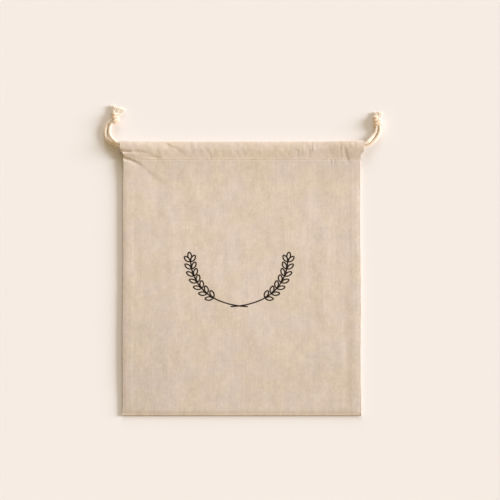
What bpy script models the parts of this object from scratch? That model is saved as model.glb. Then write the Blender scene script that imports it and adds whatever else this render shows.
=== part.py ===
"""Linen bread bag, laid flat with its face up.

One length of linen is folded at the bottom and sewn up both sides. Its two ends are turned in
as channels, one at the front and one at the back of the mouth. A cotton cord runs through each
channel, and the two cords are knotted together at either side, with frayed tails.

Metres, +Z up. The bag lies on z = 0, with +Y towards its mouth and its middle at x = y = 0.
"""
import math

import bmesh
import bpy
import numpy as np
from mathutils import Matrix, Vector

MM = 0.001
INCH = 0.0254

# ---- driving dimensions -------------------------------------------------------------------
BAG_WIDTH = 12 * INCH
BAG_LENGTH = 15 * INCH
CHANNEL_DEPTH = 1 * INCH
SEAM_ALLOWANCE = 0.5 * INCH
CLOTH = 1.0 * MM
CORD_DIAMETER = 4.0 * MM
CORD_LAY = 14.0 * MM
CORD_SIDES = 9
CORD_STRANDS = 3
STRAND_GROOVE = 0.26
GAP = 0.3 * MM

TOP = BAG_LENGTH / 2
HALF_WIDTH = BAG_WIDTH / 2
CORD_RADIUS = CORD_DIAMETER / 2

# Heights of the middle of each cloth layer over the floor.
BACK_LAYER = CLOTH / 2
HEM_AT_STITCH = BACK_LAYER + CLOTH + GAP
FRONT_AT_EDGE = 3.6 * MM
FRONT_IN_FIELD = 3.0 * MM
FRONT_AT_FOLD = 2.5 * MM

# Room between the middles of two layers that lie on each other, at the stitching and on a slope.
LAYER_PITCH = CLOTH + GAP + 0.05 * MM
SLOPE_PITCH = CLOTH + GAP + 0.2 * MM
# Room from a cord's centre to the middle of the cloth around it.
CORD_COVER = CORD_RADIUS + GAP + CLOTH / 2 + 0.3 * MM

# Where each fold's half turn begins, measured in from the fold's outer edge.
FRONT_FOLD = 3.1 * MM
BACK_FOLD = 1.6 * MM
BOTTOM_FOLD = 1.7 * MM

# How far below the top fold each cord runs. The back cord climbs towards its channel's ends.
FRONT_CORD_BELOW_TOP = 5.2 * MM
BACK_CORD_BELOW_TOP = 13.0 * MM
BACK_CORD_AT_ENDS = 8.4 * MM
CLIMB_START = 80 * MM
CLIMB_LENGTH = 72 * MM
BACK_CORD_Z = CLOTH + GAP + CORD_RADIUS

# How the cloth hangs from each cord: its slope, and how round its crest is.
BACK_SLOPE = 0.85
BACK_CREST = 2.2 * MM
FRONT_SLOPE = 0.42
FRONT_CREST = 3.0 * MM
# The back hem stands up a little towards the mouth's fold.
MOUTH_LIFT = 0.9 * MM
MOUTH_LIFT_REACH = 6 * MM

# The channels' ends stand out past the side seams: the front's for longer than the back's.
FLARE = 4.2 * MM
FLARE_AT_FOLD = 0.72
FRONT_FLARE_DEPTH = 12 * MM
BACK_FLARE_DEPTH = 6 * MM
FLARE_FADE = 8 * MM
# The edges waver a little along the sides.
WAVER = 0.3 * MM
WAVER_LENGTH = 31 * MM

# The face rises from the stitched line over a small lip to its own height.
STITCH_LIP = 0.35 * MM
STITCH_LIP_AT = 4.5 * MM
STITCH_LIP_REACH = 2.5 * MM
UNDER_CHANNEL = 14 * MM
# The face falls to the bottom's fold and to the side seams' edges.
BOTTOM_FALL = 7 * MM
EDGE_FALL = 0.45 * MM
EDGE_FALL_REACH = 2.5 * MM

# Soft folds of the face: each a ridge (height over 0) or a trough along a straight line.
FOLD_COLUMNS = ("x1", "y1", "x2", "y2", "reach", "height")
FOLDS = (
    (104, 82, 106, -70, 9, 0.7),
    (86, 150, 84, 82, 8, 0.6),
    (-127, 122, -125, 55, 8, 0.6),
    (-90, 82, -88, -96, 7, 0.55),
    (-96, 60, -99, -80, 5, -0.4),
    (133, 20, 134, -170, 5, -0.5),
    (-134, 40, -135, -160, 5, -0.3),
    (-152, 163, -130, 156, 3.2, -0.9),
    (-130, 156, -103, 131, 5, -0.7),
    (-145, 150, -118, 128, 8, 0.6),
    (136, 164, 130, 150, 5, -0.5),
    (-60, 30, 40, -120, 28, 0.35),
    (30, 120, 60, 30, 24, 0.3),
    (-30, 150, -50, 60, 22, -0.3),
    (10, -60, 20, -150, 22, -0.3),
)
DEEPEST_FOLD = 1.0 * MM
# Folds are fainter over the side seams, where four layers stiffen the cloth.
FOLD_ON_SEAM = 0.25

# Puckers across the channel: where along it, how wide each ridge is, and its height.
PUCKER_COLUMNS = ("x", "reach", "height")
PUCKERS = (
    (-99, 8, 0.4),
    (-62, 8, 0.3),
    (2, 9, 0.3),
    (62, 8, 0.3),
    (93, 7, 0.4),
    (113, 6, 0.4),
    (129, 6, 0.4),
)
# Pull creases of the front channel's left end.
CHANNEL_CREASES = (
    (-156, 180, -137, 176, 2.6, -1.1),
    (-137, 176, -108, 169, 3.0, -0.6),
    (-154, 173, -138, 170, 3.0, 0.5),
)

# Free ends of the cords, from the channel's end to the middle of the knot.
FRONT_CORD_LEFT = (
    (-162.5, 188.8, 7.3),
    (-167.2, 194.7, 4.4),
    (-169.8, 201.6, 2.8),
    (-170.1, 208.5, 2.4),
    (-168.2, 215.0, 3.6),
    (-162.2, 220.6, 5.4),
)
BACK_CORD_LEFT = (
    (-163.1, 186.6, 2.4),
    (-167.9, 189.0, 2.3),
    (-171.8, 192.6, 2.3),
    (-174.6, 197.6, 2.3),
    (-175.4, 203.4, 2.3),
    (-174.9, 209.0, 2.4),
    (-172.6, 215.0, 2.9),
    (-163.6, 222.4, 4.2),
)
FRONT_CORD_RIGHT = (
    (161.8, 188.5, 7.3),
    (165.2, 193.1, 5.0),
    (168.5, 198.3, 3.3),
    (171.4, 203.4, 2.7),
    (172.4, 208.7, 3.1),
    (173.4, 217.4, 4.8),
)
BACK_CORD_RIGHT = (
    (162.5, 186.1, 2.4),
    (166.9, 189.0, 2.3),
    (171.0, 193.1, 2.3),
    (174.5, 198.2, 2.3),
    (176.6, 203.8, 2.3),
    (177.2, 209.3, 2.7),
    (175.4, 217.9, 4.8),
)
# Places along the channels that each cord's route passes.
CHANNEL_STATIONS = (-156, -149, -140, -129, -116, -100, -80, -40, 0,
                    40, 80, 100, 116, 129, 140, 148, 155)

# Knots: middle, half sizes, and how both cords wind round their core.
KNOT_COLUMNS = ("side", "x", "y", "half_width", "half_length", "turns", "first_deg")
KNOTS = (
    ("left", -162.2, 222.6, 5.2, 7.4, -1.3, 200.0),
    ("right", 174.4, 217.9, 6.0, 8.0, -1.4, 250.0),
)
KNOT_HALF_HEIGHT = 4.8 * MM

# Frayed tails: the fan's angles from +Y, its length range, and how many locks it has.
TAIL_COLUMNS = ("side", "first_deg", "last_deg", "length_first", "length_last", "locks")
TAILS = (
    ("left", 8, -26, 15.5, 13.5, 7),
    ("right", 8, -8, 7.5, 7.5, 6),
)
LOCK_RADIUS = 0.65 * MM


# ---- small helpers ------------------------------------------------------------------------
def rows_of(table, columns):
    """Give each row of a table as a dictionary."""
    return [dict(zip(columns, row)) for row in table]


def soft_max(a, b, blend=1.0 * MM):
    """The larger of two heights, rounded where they cross."""
    return 0.5 * (a + b + np.sqrt((a - b) ** 2 + blend ** 2))


def smooth_step(value):
    """0 below 0, 1 above 1, and an even ramp between."""
    value = np.clip(value, 0.0, 1.0)
    return value * value * (3.0 - 2.0 * value)


def bell(distance, reach):
    """1 at no distance, falling away past the reach on both sides."""
    return np.exp(-(distance / reach) ** 2)


def line_folds(x, y, table):
    """Heights of soft ridges and troughs: a bell curve of the distance to each line."""
    total = np.zeros(np.broadcast(x, y).shape)
    for fold in rows_of(table, FOLD_COLUMNS):
        ax, ay, bx, by = (fold[key] * MM for key in ("x1", "y1", "x2", "y2"))
        dx, dy = bx - ax, by - ay
        along = np.clip(((x - ax) * dx + (y - ay) * dy) / (dx * dx + dy * dy), 0.0, 1.0)
        distance = np.hypot(x - ax - along * dx, y - ay - along * dy)
        total = total + fold["height"] * MM * bell(distance, fold["reach"] * MM)
    return total


def hang(offset, slope, crest):
    """How far cloth has dropped at an offset from the cord it hangs over."""
    return slope * (np.sqrt(offset ** 2 + crest ** 2) - crest)


# ---- heights of the layers ----------------------------------------------------------------
def back_cord_below_top(x):
    """How far below the top the back cord runs."""
    climb = smooth_step((np.abs(x) - CLIMB_START) / CLIMB_LENGTH)
    return BACK_CORD_BELOW_TOP + (BACK_CORD_AT_ENDS - BACK_CORD_BELOW_TOP) * climb


def near_stitching(below):
    """0 on the channel's slopes and 1 at its stitched line."""
    return smooth_step((below - 0.75 * CHANNEL_DEPTH) / (0.25 * CHANNEL_DEPTH))


def back_hem(x, below):
    """Middle of the back hem, over its cord and down to the stitching."""
    rest = HEM_AT_STITCH + MOUTH_LIFT * bell(below, MOUTH_LIFT_REACH)
    crest = BACK_CORD_Z + CORD_COVER + 0.2 * MM
    over_cord = crest - hang(below - back_cord_below_top(x), BACK_SLOPE, BACK_CREST)
    return soft_max(rest, over_cord, 0.8 * MM) - 0.1 * MM * near_stitching(below)


def layer_pitch(below):
    """Room between layers: wider on the channel's slopes than at the stitching."""
    return SLOPE_PITCH + (LAYER_PITCH - SLOPE_PITCH) * near_stitching(below)


def front_hem(x, below):
    """Middle of the front hem, which lies on the back hem across the mouth."""
    return back_hem(x, below) + layer_pitch(below)


def front_cord_z(x):
    """The front cord's centre, on top of its hem."""
    return front_hem(x, FRONT_CORD_BELOW_TOP) + CORD_COVER + 0.3 * MM


def front_channel(x, below):
    """Middle of the front channel's outer layer, over both cords."""
    on_hem = front_hem(x, below) + layer_pitch(below)
    crest = front_cord_z(x) + CORD_COVER + 0.1 * MM
    over_cord = crest - hang(below - FRONT_CORD_BELOW_TOP, FRONT_SLOPE, FRONT_CREST)
    across = np.sin(math.pi * np.clip(below / CHANNEL_DEPTH, 0.0, 1.0))
    relief = line_folds(x, TOP - below, CHANNEL_CREASES)
    for pucker in rows_of(PUCKERS, PUCKER_COLUMNS):
        relief = relief + pucker["height"] * MM * bell(x - pucker["x"] * MM, pucker["reach"] * MM)
    return np.maximum(soft_max(on_hem, over_cord) + relief * across, on_hem)


def front_body(x, y):
    """Middle of the face below the channel: seam ridges, soft folds and the bottom's fall."""
    edge = HALF_WIDTH - np.abs(x)
    on_seam = smooth_step((SEAM_ALLOWANCE + 2 * MM - edge) / (4 * MM))
    height = FRONT_IN_FIELD + (FRONT_AT_EDGE - FRONT_IN_FIELD) * on_seam
    in_field = smooth_step((edge - SEAM_ALLOWANCE) / (10 * MM))
    folds = np.maximum(line_folds(x, y, FOLDS), -DEEPEST_FOLD)
    height = height + folds * (FOLD_ON_SEAM + (1.0 - FOLD_ON_SEAM) * in_field)
    height = height - EDGE_FALL * bell(edge, EDGE_FALL_REACH)
    height = height + (FRONT_AT_FOLD - height) * bell(y + TOP, BOTTOM_FALL)
    below_stitch = TOP - y - CHANNEL_DEPTH
    lip = STITCH_LIP * bell(below_stitch - STITCH_LIP_AT, STITCH_LIP_REACH)
    under_channel = 1.0 - smooth_step(below_stitch / UNDER_CHANNEL)
    at_stitch = front_channel(x, CHANNEL_DEPTH)
    return height + (at_stitch - height) * under_channel + lip


def half_width(below, side, flare_depth):
    """Half the bag's width: the channel's ends stand out, and the edges waver a little."""
    corner = smooth_step((below + 1.5 * MM) / (3.5 * MM))
    end = 1.0 - smooth_step((below - flare_depth) / FLARE_FADE)
    waver = WAVER * np.sin(below / WAVER_LENGTH + side)
    return HALF_WIDTH + FLARE * (FLARE_AT_FOLD + (1.0 - FLARE_AT_FOLD) * corner) * end + waver * (1.0 - end)


# ---- the cloth ----------------------------------------------------------------------------
# Rows of points, as distances below the top: how many, and those close under the channel.
CHANNEL_ROWS = 9
BACK_HEM_ROWS = 10
ROWS_UNDER_CHANNEL = (27.6, 30.0, 34.0, 41.0, 52.0)
EVEN_ROWS = 22
LAST_EVEN_ROW = 371.0
LAST_ROW = 376.5
EVEN_STEP = (LAST_EVEN_ROW - ROWS_UNDER_CHANNEL[-1]) / EVEN_ROWS
BODY_ROWS = [row * MM for row in ROWS_UNDER_CHANNEL]
BODY_ROWS += [(ROWS_UNDER_CHANNEL[-1] + EVEN_STEP * k) * MM for k in range(1, EVEN_ROWS + 1)]
BODY_ROWS += [LAST_ROW * MM]
LAST_BACK_ROW = BAG_LENGTH - 12 * MM
BACK_ROWS = 5
# The back's last row before its fold, half way down the channel.
BACK_CHANNEL_ROW = CHANNEL_DEPTH / 2
FOLD_STEPS = 4
# Columns of points, as distances from the side: close over the seam's ridge, even in the field.
SEAM_COLUMNS = (0.0, 2.5, 10.0, 15.0, 22.0, 31.0, 42.0)
FIELD_STEPS = 7


def half_circle(count):
    """Angles inside a fold's half turn, from one layer to the other."""
    return [math.pi * (k + 1) / (count + 1) for k in range(count)]


def column_shares():
    """Places of the columns as shares of the half width, from -1 at the left to 1."""
    near_side = [column * MM for column in SEAM_COLUMNS]
    field = HALF_WIDTH - near_side[-1]
    offsets = near_side + [near_side[-1] + field * k / FIELD_STEPS for k in range(1, FIELD_STEPS + 1)]
    left = [offset / HALF_WIDTH - 1.0 for offset in offsets]
    return np.array(left + [-share for share in reversed(left[:-1])])


def place_across(share, below, flare_depth):
    """Where a column stands across the bag at a distance below the top."""
    side = -1 if share < 0 else 1
    return share * float(half_width(below, side, flare_depth))


def layer_line(share, rows, height, flare_depth):
    """Points down one column of one layer, at its rows."""
    points = []
    for below in rows:
        x = place_across(share, below, flare_depth)
        points.append((x, TOP - below, float(height(x, below))))
    return points


def mouth_fold(share, first, last, depth, flare_depth):
    """Points round a half turn at the mouth, from the lower layer's end to the upper's start."""
    middle, half = (first + last) / 2, (last - first) / 2
    points = []
    for angle in half_circle(FOLD_STEPS):
        below = CLOTH / 2 + (depth - CLOTH / 2) * (1.0 - math.sin(angle))
        x = place_across(share, below, flare_depth)
        points.append((x, TOP - below, middle - half * math.cos(angle)))
    return points


def bottom_fold(share):
    """Points round the half turn at the bottom, from the face to the back."""
    x = place_across(share, BAG_LENGTH, FRONT_FLARE_DEPTH)
    half = (float(front_body(x, BOTTOM_FOLD - TOP)) - BACK_LAYER) / 2
    points = []
    for angle in [0.0] + half_circle(FOLD_STEPS) + [math.pi]:
        y = CLOTH / 2 - TOP + (BOTTOM_FOLD - CLOTH / 2) * (1.0 - math.sin(angle))
        points.append((x, y, BACK_LAYER + half * (1.0 + math.cos(angle))))
    return points


def cloth_section(share):
    """One line of the cloth, from the front hem's edge round the bag to the back hem's."""
    hem_rows = np.linspace(CHANNEL_DEPTH, FRONT_FOLD, CHANNEL_ROWS)
    hem = layer_line(share, hem_rows, front_hem, FRONT_FLARE_DEPTH)
    channel = layer_line(share, hem_rows[::-1], front_channel, FRONT_FLARE_DEPTH)
    face = layer_line(share, BODY_ROWS, lambda x, below: front_body(x, TOP - below), FRONT_FLARE_DEPTH)
    back_rows = list(np.linspace(LAST_BACK_ROW, CHANNEL_DEPTH, BACK_ROWS)) + [BACK_CHANNEL_ROW, BACK_FOLD]
    back = layer_line(share, back_rows, lambda x, below: BACK_LAYER, BACK_FLARE_DEPTH)
    back_hem_rows = np.linspace(BACK_FOLD, CHANNEL_DEPTH, BACK_HEM_ROWS)
    inside = layer_line(share, back_hem_rows, back_hem, BACK_FLARE_DEPTH)
    front_turn = mouth_fold(share, hem[-1][2], channel[0][2], FRONT_FOLD, FRONT_FLARE_DEPTH)
    back_turn = mouth_fold(share, back[-1][2], inside[0][2], BACK_FOLD, BACK_FLARE_DEPTH)
    return hem + front_turn + channel + face + bottom_fold(share) + back + back_turn + inside


def new_object(name, mesh, collection):
    """Wrap a mesh as an object in a collection."""
    item = bpy.data.objects.new(name, mesh)
    collection.objects.link(item)
    return item


def mark_as_tool(item):
    """Show a piece that is joined into another as wire only."""
    item.hide_render = True
    item.display_type = "WIRE"


def grid_mesh(name, rows, columns, places):
    """A Blender grid whose points are put at the given places, row by row."""
    mesh = bpy.data.meshes.new(name)
    work = bmesh.new()
    bmesh.ops.create_grid(work, x_segments=columns - 1, y_segments=rows - 1, size=0.5)
    work.verts.ensure_lookup_table()
    for vertex, place in zip(work.verts, places.reshape(-1, 3)):
        vertex.co = place
    work.to_mesh(mesh)
    work.free()
    return mesh


def make_cloth(collection):
    """The whole length of linen as one sheet of even thickness."""
    sections = [cloth_section(share) for share in column_shares()]
    places = np.array(sections).transpose(1, 0, 2)
    mesh = grid_mesh("bag", places.shape[0], places.shape[1], places)
    bag = new_object("bag", mesh, collection)
    wall = bag.modifiers.new("cloth thickness", "SOLIDIFY")
    wall.thickness = CLOTH
    wall.offset = 0.0
    wall.use_even_offset = True
    return bag


def block_between(name, x, y, top, bottom, collection):
    """A block over a grid of x and y, between two height functions."""
    places = np.stack([x, y, top(x, y)], axis=-1)
    mesh = grid_mesh(name, *x.shape, places)
    work = bmesh.new()
    work.from_mesh(mesh)
    result = bmesh.ops.extrude_face_region(work, geom=work.faces[:], use_keep_orig=True)
    for vertex in result["geom"]:
        if isinstance(vertex, bmesh.types.BMVert):
            vertex.co.z = float(bottom(vertex.co.x, vertex.co.y))
    bmesh.ops.recalc_face_normals(work, faces=work.faces[:])
    work.to_mesh(mesh)
    work.free()
    mark_as_tool(new_object(name, mesh, collection))


# The sewing's blocks: the side seams' columns, how near each seam comes to the bottom and
# the channel, and the hems' stitched bars, whose columns lie inside the seams' edges.
SEAM_PLACES = (SEAM_ALLOWANCE, 10 * MM, 2.5 * MM, 1.0 * MM)
SEAM_FROM_BOTTOM = 2.4 * MM
SEAM_INTO_CHANNEL = 0.6 * MM
BAR_ROWS = (0.3 * MM, 1.2 * MM)
BAR_COLUMNS = 30
BAR_FROM_SIDE = 0.4 * MM
STITCH_WAVER = 0.1 * MM
STITCH_WAVER_LENGTH = 20 * MM


def make_sewing(collection):
    """Seam allowances inside both sides, and the hems' stitched lines, which close the cloth."""
    rows = [BAG_LENGTH - SEAM_FROM_BOTTOM] + BODY_ROWS[::-1] + [CHANNEL_DEPTH - SEAM_INTO_CHANNEL]
    offset, below = np.meshgrid(SEAM_PLACES, rows)
    for name, side in (("left seam", -1), ("right seam", 1)):
        x = side * (half_width(below, side, FRONT_FLARE_DEPTH) - offset)
        block_between(name, x, TOP - below, front_body, lambda x, y: BACK_LAYER, collection)

    columns = np.linspace(BAR_FROM_SIDE - HALF_WIDTH, HALF_WIDTH - BAR_FROM_SIDE, BAR_COLUMNS)
    x, row = np.meshgrid(columns, BAR_ROWS)
    y = TOP - CHANNEL_DEPTH + row + STITCH_WAVER * np.sin(x / STITCH_WAVER_LENGTH)
    block_between("front hem stitching", x, y,
                  lambda x, y: front_channel(x, TOP - y),
                  lambda x, y: front_hem(x, TOP - y), collection)
    block_between("back hem stitching", x, y,
                  lambda x, y: back_hem(x, TOP - y),
                  lambda x, y: BACK_LAYER, collection)


# ---- the cords ----------------------------------------------------------------------------
def smooth_curve(points, per_span=24):
    """A Catmull-Rom curve through the points, sampled finely."""
    points = np.array(points, dtype=float)
    padded = np.vstack([2 * points[0] - points[1], points, 2 * points[-1] - points[-2]])
    samples = []
    for k in range(1, len(padded) - 2):
        before, start, end, after = padded[k - 1:k + 3]
        for step in range(per_span):
            t = step / per_span
            samples.append(0.5 * (2 * start + (end - before) * t
                                  + (2 * before - 5 * start + 4 * end - after) * t ** 2
                                  + (3 * start - before - 3 * end + after) * t ** 3))
    samples.append(padded[-2])
    return np.array(samples)


def lengths_along(curve):
    """Distance travelled at each sample of a curve."""
    steps = np.linalg.norm(np.diff(curve, axis=0), axis=1)
    return np.concatenate([[0.0], np.cumsum(steps)])


def part_of_curve(curve, start, end, spacings):
    """Points and directions of a curve between two distances, at the spacings given."""
    travelled = lengths_along(curve)
    slopes = np.gradient(curve, axis=0)
    slopes /= np.linalg.norm(slopes, axis=1)[:, None]
    inside = [value for value in spacings if start + 0.4 * MM < value < end - 0.4 * MM]
    wanted = [start] + inside + [end]
    points = np.stack([np.interp(wanted, travelled, curve[:, k]) for k in range(3)], axis=1)
    directions = np.stack([np.interp(wanted, travelled, slopes[:, k]) for k in range(3)], axis=1)
    directions /= np.linalg.norm(directions, axis=1)[:, None]
    return points, directions


def cord_route(left_free, right_free, below_at, height_at):
    """A cord's whole route: left knot, channel, right knot."""
    left = [np.array(point) * MM for point in reversed(left_free)]
    right = [np.array(point) * MM for point in right_free]
    channel = []
    for station in CHANNEL_STATIONS:
        x = station * MM
        channel.append(np.array((x, TOP - float(below_at(x)), float(height_at(x)))))
    return smooth_curve(left + channel + right)


def twisted_tube(name, stations, collection, up=(0.0, 0.0, 1.0)):
    """A three-strand cord: a tube with three lobes, turned on by one side at each ring."""
    points, tangents = stations
    sides = CORD_SIDES
    angles = np.arange(sides) * 2 * math.pi / sides
    lobe = np.abs(np.sin(CORD_STRANDS * (angles + math.pi / sides) / 2))
    reach = CORD_RADIUS * (1.0 - STRAND_GROOVE * (1.0 - lobe))
    up = np.array(up)
    work = bmesh.new()
    rings = []
    for number, (point, tangent) in enumerate(zip(points, tangents)):
        across = np.cross(up, tangent)
        across /= np.linalg.norm(across)
        over = np.cross(tangent, across)
        turn = 2 * math.pi * number / sides
        ring = []
        for angle, size in zip(angles + turn, reach):
            place = point + size * (math.cos(angle) * across + math.sin(angle) * over)
            ring.append(work.verts.new(place))
        rings.append(ring)
    for ring, after in zip(rings, rings[1:]):
        for k in range(sides):
            n = (k + 1) % sides
            work.faces.new((ring[k], ring[n], after[k]))
            work.faces.new((ring[n], after[n], after[k]))
    work.faces.new(list(reversed(rings[0])))
    work.faces.new(rings[-1])
    bmesh.ops.recalc_face_normals(work, faces=work.faces[:])
    mesh = bpy.data.meshes.new(name)
    work.to_mesh(mesh)
    work.free()
    return new_object(name, mesh, collection)


# Lengths of each cord that its two knots hold, and the finely ringed lengths that show.
KNOT_HOLDS = 13 * MM
SHOWN_LENGTH = 62 * MM
SHOWN_RING = CORD_LAY / CORD_SIDES
HIDDEN_RING = 11 * MM


def ring_places(total):
    """Ring distances: close where the cord shows, wide where the channel hides it."""
    shown = list(np.arange(0.0, SHOWN_LENGTH, SHOWN_RING))
    hidden = list(np.arange(SHOWN_LENGTH, total - SHOWN_LENGTH, HIDDEN_RING))
    return shown + hidden + [total - value for value in reversed(shown)]


def make_cord(name, route, collection):
    """The cord between its knots, stopped a hair short of what the knots hold."""
    total = lengths_along(route)[-1]
    start, end = KNOT_HOLDS, total - KNOT_HOLDS
    stations = part_of_curve(route, start, end, ring_places(total))
    return twisted_tube(name, stations, collection)


def make_held_ends(side, routes, collection):
    """The last of each cord, from a hair past its solid to inside the knot."""
    for number, route in enumerate(routes):
        total = lengths_along(route)[-1]
        if side == "left":
            start, end = 1.0 * MM, KNOT_HOLDS - GAP
        else:
            start, end = total - KNOT_HOLDS + GAP, total - 1.0 * MM
        spacings = np.arange(start, end, SHOWN_RING)[1:]
        stations = part_of_curve(route, start, end, spacings)
        mark_as_tool(twisted_tube(f"{side} held end {number}", stations, collection))


# ---- the knots ----------------------------------------------------------------------------
# The wound cords: samples of a curve, how far and over what share the ends are tucked in,
# and how far each lies from the middle between the two.
TURN_SAMPLES = 60
TUCKED = 0.45
TUCK_SHARE = 0.1
STRAND_BESIDE = 0.98 * CORD_RADIUS
# The core lies this far inside the knot's outline, and less so at its ends.
CORE_INSET = 1.8
CORE_END_INSET = 0.6
# The tail's locks: where they root in the knot, how high they start and lie, and their ends.
ROOT_INSET = 4.5
ROOT_SIDE_INSET = 2.6
ROOT_LIFT = 2.4 * MM
ROOT_LENGTH = 3.5 * MM
LOCK_LEVELS = (1.0 * MM, 2.6 * MM)
LOCK_SHORTENING = 0.16
LOCK_TIP = 0.45


def place_from(mesh, matrix):
    """Move a mesh's points by a matrix."""
    mesh.transform(matrix)
    mesh.update()


def knot_centre(knot):
    """The middle of a knot, which lies on the floor."""
    return np.array((knot["x"] * MM, knot["y"] * MM, KNOT_HALF_HEIGHT + 0.1 * MM))


def make_turns(knot, collection):
    """Both cords wound side by side round the knot's core, with their ends tucked in.

    Each follows a helix about +Y whose radius is held, and shrinks over its first and last
    tenths, so that both ends of a turn sink into the core.
    """
    round_x = knot["half_width"] * MM - CORD_RADIUS
    round_z = KNOT_HALF_HEIGHT - CORD_RADIUS
    reach = knot["half_length"] * MM - 2 * CORD_RADIUS
    share = np.linspace(0.0, 1.0, TURN_SAMPLES)
    tuck = TUCKED + (1.0 - TUCKED) * np.sin(math.pi / 2 * np.clip(share / TUCK_SHARE, 0.0, 1.0))
    tuck = np.minimum(tuck, tuck[::-1])
    for number, shift in enumerate((-1.0, 1.0)):
        angle = math.radians(knot["first_deg"]) + 2 * math.pi * knot["turns"] * share
        along = reach * (2 * share - 1) + shift * STRAND_BESIDE
        curve = np.stack([round_x * tuck * np.cos(angle), along, round_z * tuck * np.sin(angle)],
                         axis=1) + knot_centre(knot)
        total = lengths_along(curve)[-1]
        stations = part_of_curve(curve, 0.0, total, np.arange(SHOWN_RING, total, SHOWN_RING))
        mark_as_tool(twisted_tube(f"{knot['side']} turn {number}", stations, collection,
                                  up=(0.0, 1.0, 0.0)))


def make_tail(tail, knot, collection):
    """A fan of tapered locks that grows out of the knot's far end and lies on the floor."""
    locks = tail["locks"]
    root = Vector((knot["x"] * MM, (knot["y"] + knot["half_length"] - ROOT_INSET) * MM, 0.0))
    spread = (knot["half_width"] - ROOT_SIDE_INSET) * MM
    for number in range(locks):
        share = number / (locks - 1)
        angle = math.radians(tail["first_deg"] + (tail["last_deg"] - tail["first_deg"]) * share)
        length = (tail["length_first"] + (tail["length_last"] - tail["length_first"]) * share) * MM
        length *= 1.0 - LOCK_SHORTENING * (number % 3)
        height = LOCK_LEVELS[number % 2]
        start = root + Vector((spread * (2 * share - 1), 0.0, height + ROOT_LIFT))
        direction = Vector((-math.sin(angle), math.cos(angle), 0.0))
        end = start + direction * (length + ROOT_LENGTH)
        end.z = height
        axis = end - start
        mesh = bpy.data.meshes.new(f"{knot['side']} lock {number}")
        work = bmesh.new()
        bmesh.ops.create_cone(work, cap_ends=True, segments=4, radius1=LOCK_RADIUS,
                              radius2=LOCK_RADIUS * LOCK_TIP, depth=axis.length)
        work.to_mesh(mesh)
        work.free()
        place_from(mesh, Matrix.Translation((start + end) / 2)
                   @ axis.to_track_quat("Z", "Y").to_matrix().to_4x4())
        mark_as_tool(new_object(mesh.name, mesh, collection))


def make_knot(knot, tail, routes, collection, tools):
    """One knot: a core, its turns, the cords' held ends and the frayed tail, joined."""
    parts = bpy.data.collections.new(f"{knot['side']} knot pieces")
    tools.children.link(parts)
    mesh = bpy.data.meshes.new(f"{knot['side']}_knot")
    work = bmesh.new()
    bmesh.ops.create_uvsphere(work, u_segments=12, v_segments=8, radius=1.0)
    work.to_mesh(mesh)
    work.free()
    size = Matrix.Diagonal(((knot["half_width"] - CORE_INSET) * MM,
                            (knot["half_length"] - CORE_END_INSET) * MM,
                            KNOT_HALF_HEIGHT - CORE_INSET * MM, 1.0))
    place_from(mesh, Matrix.Translation(Vector(knot_centre(knot))) @ size)
    body = new_object(f"{knot['side']}_knot", mesh, collection)
    make_turns(knot, parts)
    make_held_ends(knot["side"], routes, parts)
    make_tail(tail, knot, parts)
    join = body.modifiers.new("join", "BOOLEAN")
    join.operation = "UNION"
    join.operand_type = "COLLECTION"
    join.collection = parts
    join.solver = "EXACT"
    return body


# ---- materials ----------------------------------------------------------------------------
MATERIAL_COLUMNS = ("name", "colour", "roughness")
MATERIALS = (
    ("natural linen", (0.694, 0.557, 0.423), 0.92),
    ("cotton cord", (0.871, 0.787, 0.665), 0.9),
)


def make_material(row):
    """A plain rough material."""
    material = bpy.data.materials.new(row["name"])
    material.use_nodes = True
    shader = material.node_tree.nodes["Principled BSDF"]
    shader.inputs["Base Color"].default_value = (*row["colour"], 1.0)
    shader.inputs["Roughness"].default_value = row["roughness"]
    shader.inputs["Metallic"].default_value = 0.0
    return material


# ---- the bag ------------------------------------------------------------------------------
def main():
    """Clear the scene and make the bag, its cords and its knots."""
    for item in list(bpy.data.objects):
        bpy.data.objects.remove(item, do_unlink=True)
    scene = bpy.context.scene
    parts = bpy.data.collections.new("linen bread bag")
    tools = bpy.data.collections.new("joined pieces")
    sewing = bpy.data.collections.new("sewing")
    scene.collection.children.link(parts)
    scene.collection.children.link(tools)
    tools.children.link(sewing)

    linen, cotton = [make_material(row) for row in rows_of(MATERIALS, MATERIAL_COLUMNS)]

    bag = make_cloth(parts)
    make_sewing(sewing)
    sew = bag.modifiers.new("sewn", "BOOLEAN")
    sew.operation = "UNION"
    sew.operand_type = "COLLECTION"
    sew.collection = sewing
    sew.solver = "EXACT"
    bag.data.materials.append(linen)

    front_route = cord_route(FRONT_CORD_LEFT, FRONT_CORD_RIGHT,
                             lambda x: FRONT_CORD_BELOW_TOP, front_cord_z)
    back_route = cord_route(BACK_CORD_LEFT, BACK_CORD_RIGHT,
                            back_cord_below_top, lambda x: BACK_CORD_Z)
    for name, route in (("front_cord", front_route), ("back_cord", back_route)):
        make_cord(name, route, parts).data.materials.append(cotton)

    knots = rows_of(KNOTS, KNOT_COLUMNS)
    tails = rows_of(TAILS, TAIL_COLUMNS)
    for knot, tail in zip(knots, tails):
        body = make_knot(knot, tail, (front_route, back_route), parts, tools)
        body.data.materials.append(cotton)


main()
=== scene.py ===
"""Linen bread bag, lying face up: its finish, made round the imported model.

The bag is one length of natural linen, folded at the bottom and sewn up both sides, with a
drawstring channel turned in at the front and the back of its mouth. A cotton cord runs through
each channel, and knots with frayed tails tie the two cords together at either side.

The panel "Bread bag" in the 3D view's sidebar lists one button for each piece. Everything is in
metres, in the model's own frame: +X to the bag's right, +Y towards its mouth, +Z up.
"""
import math

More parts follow.
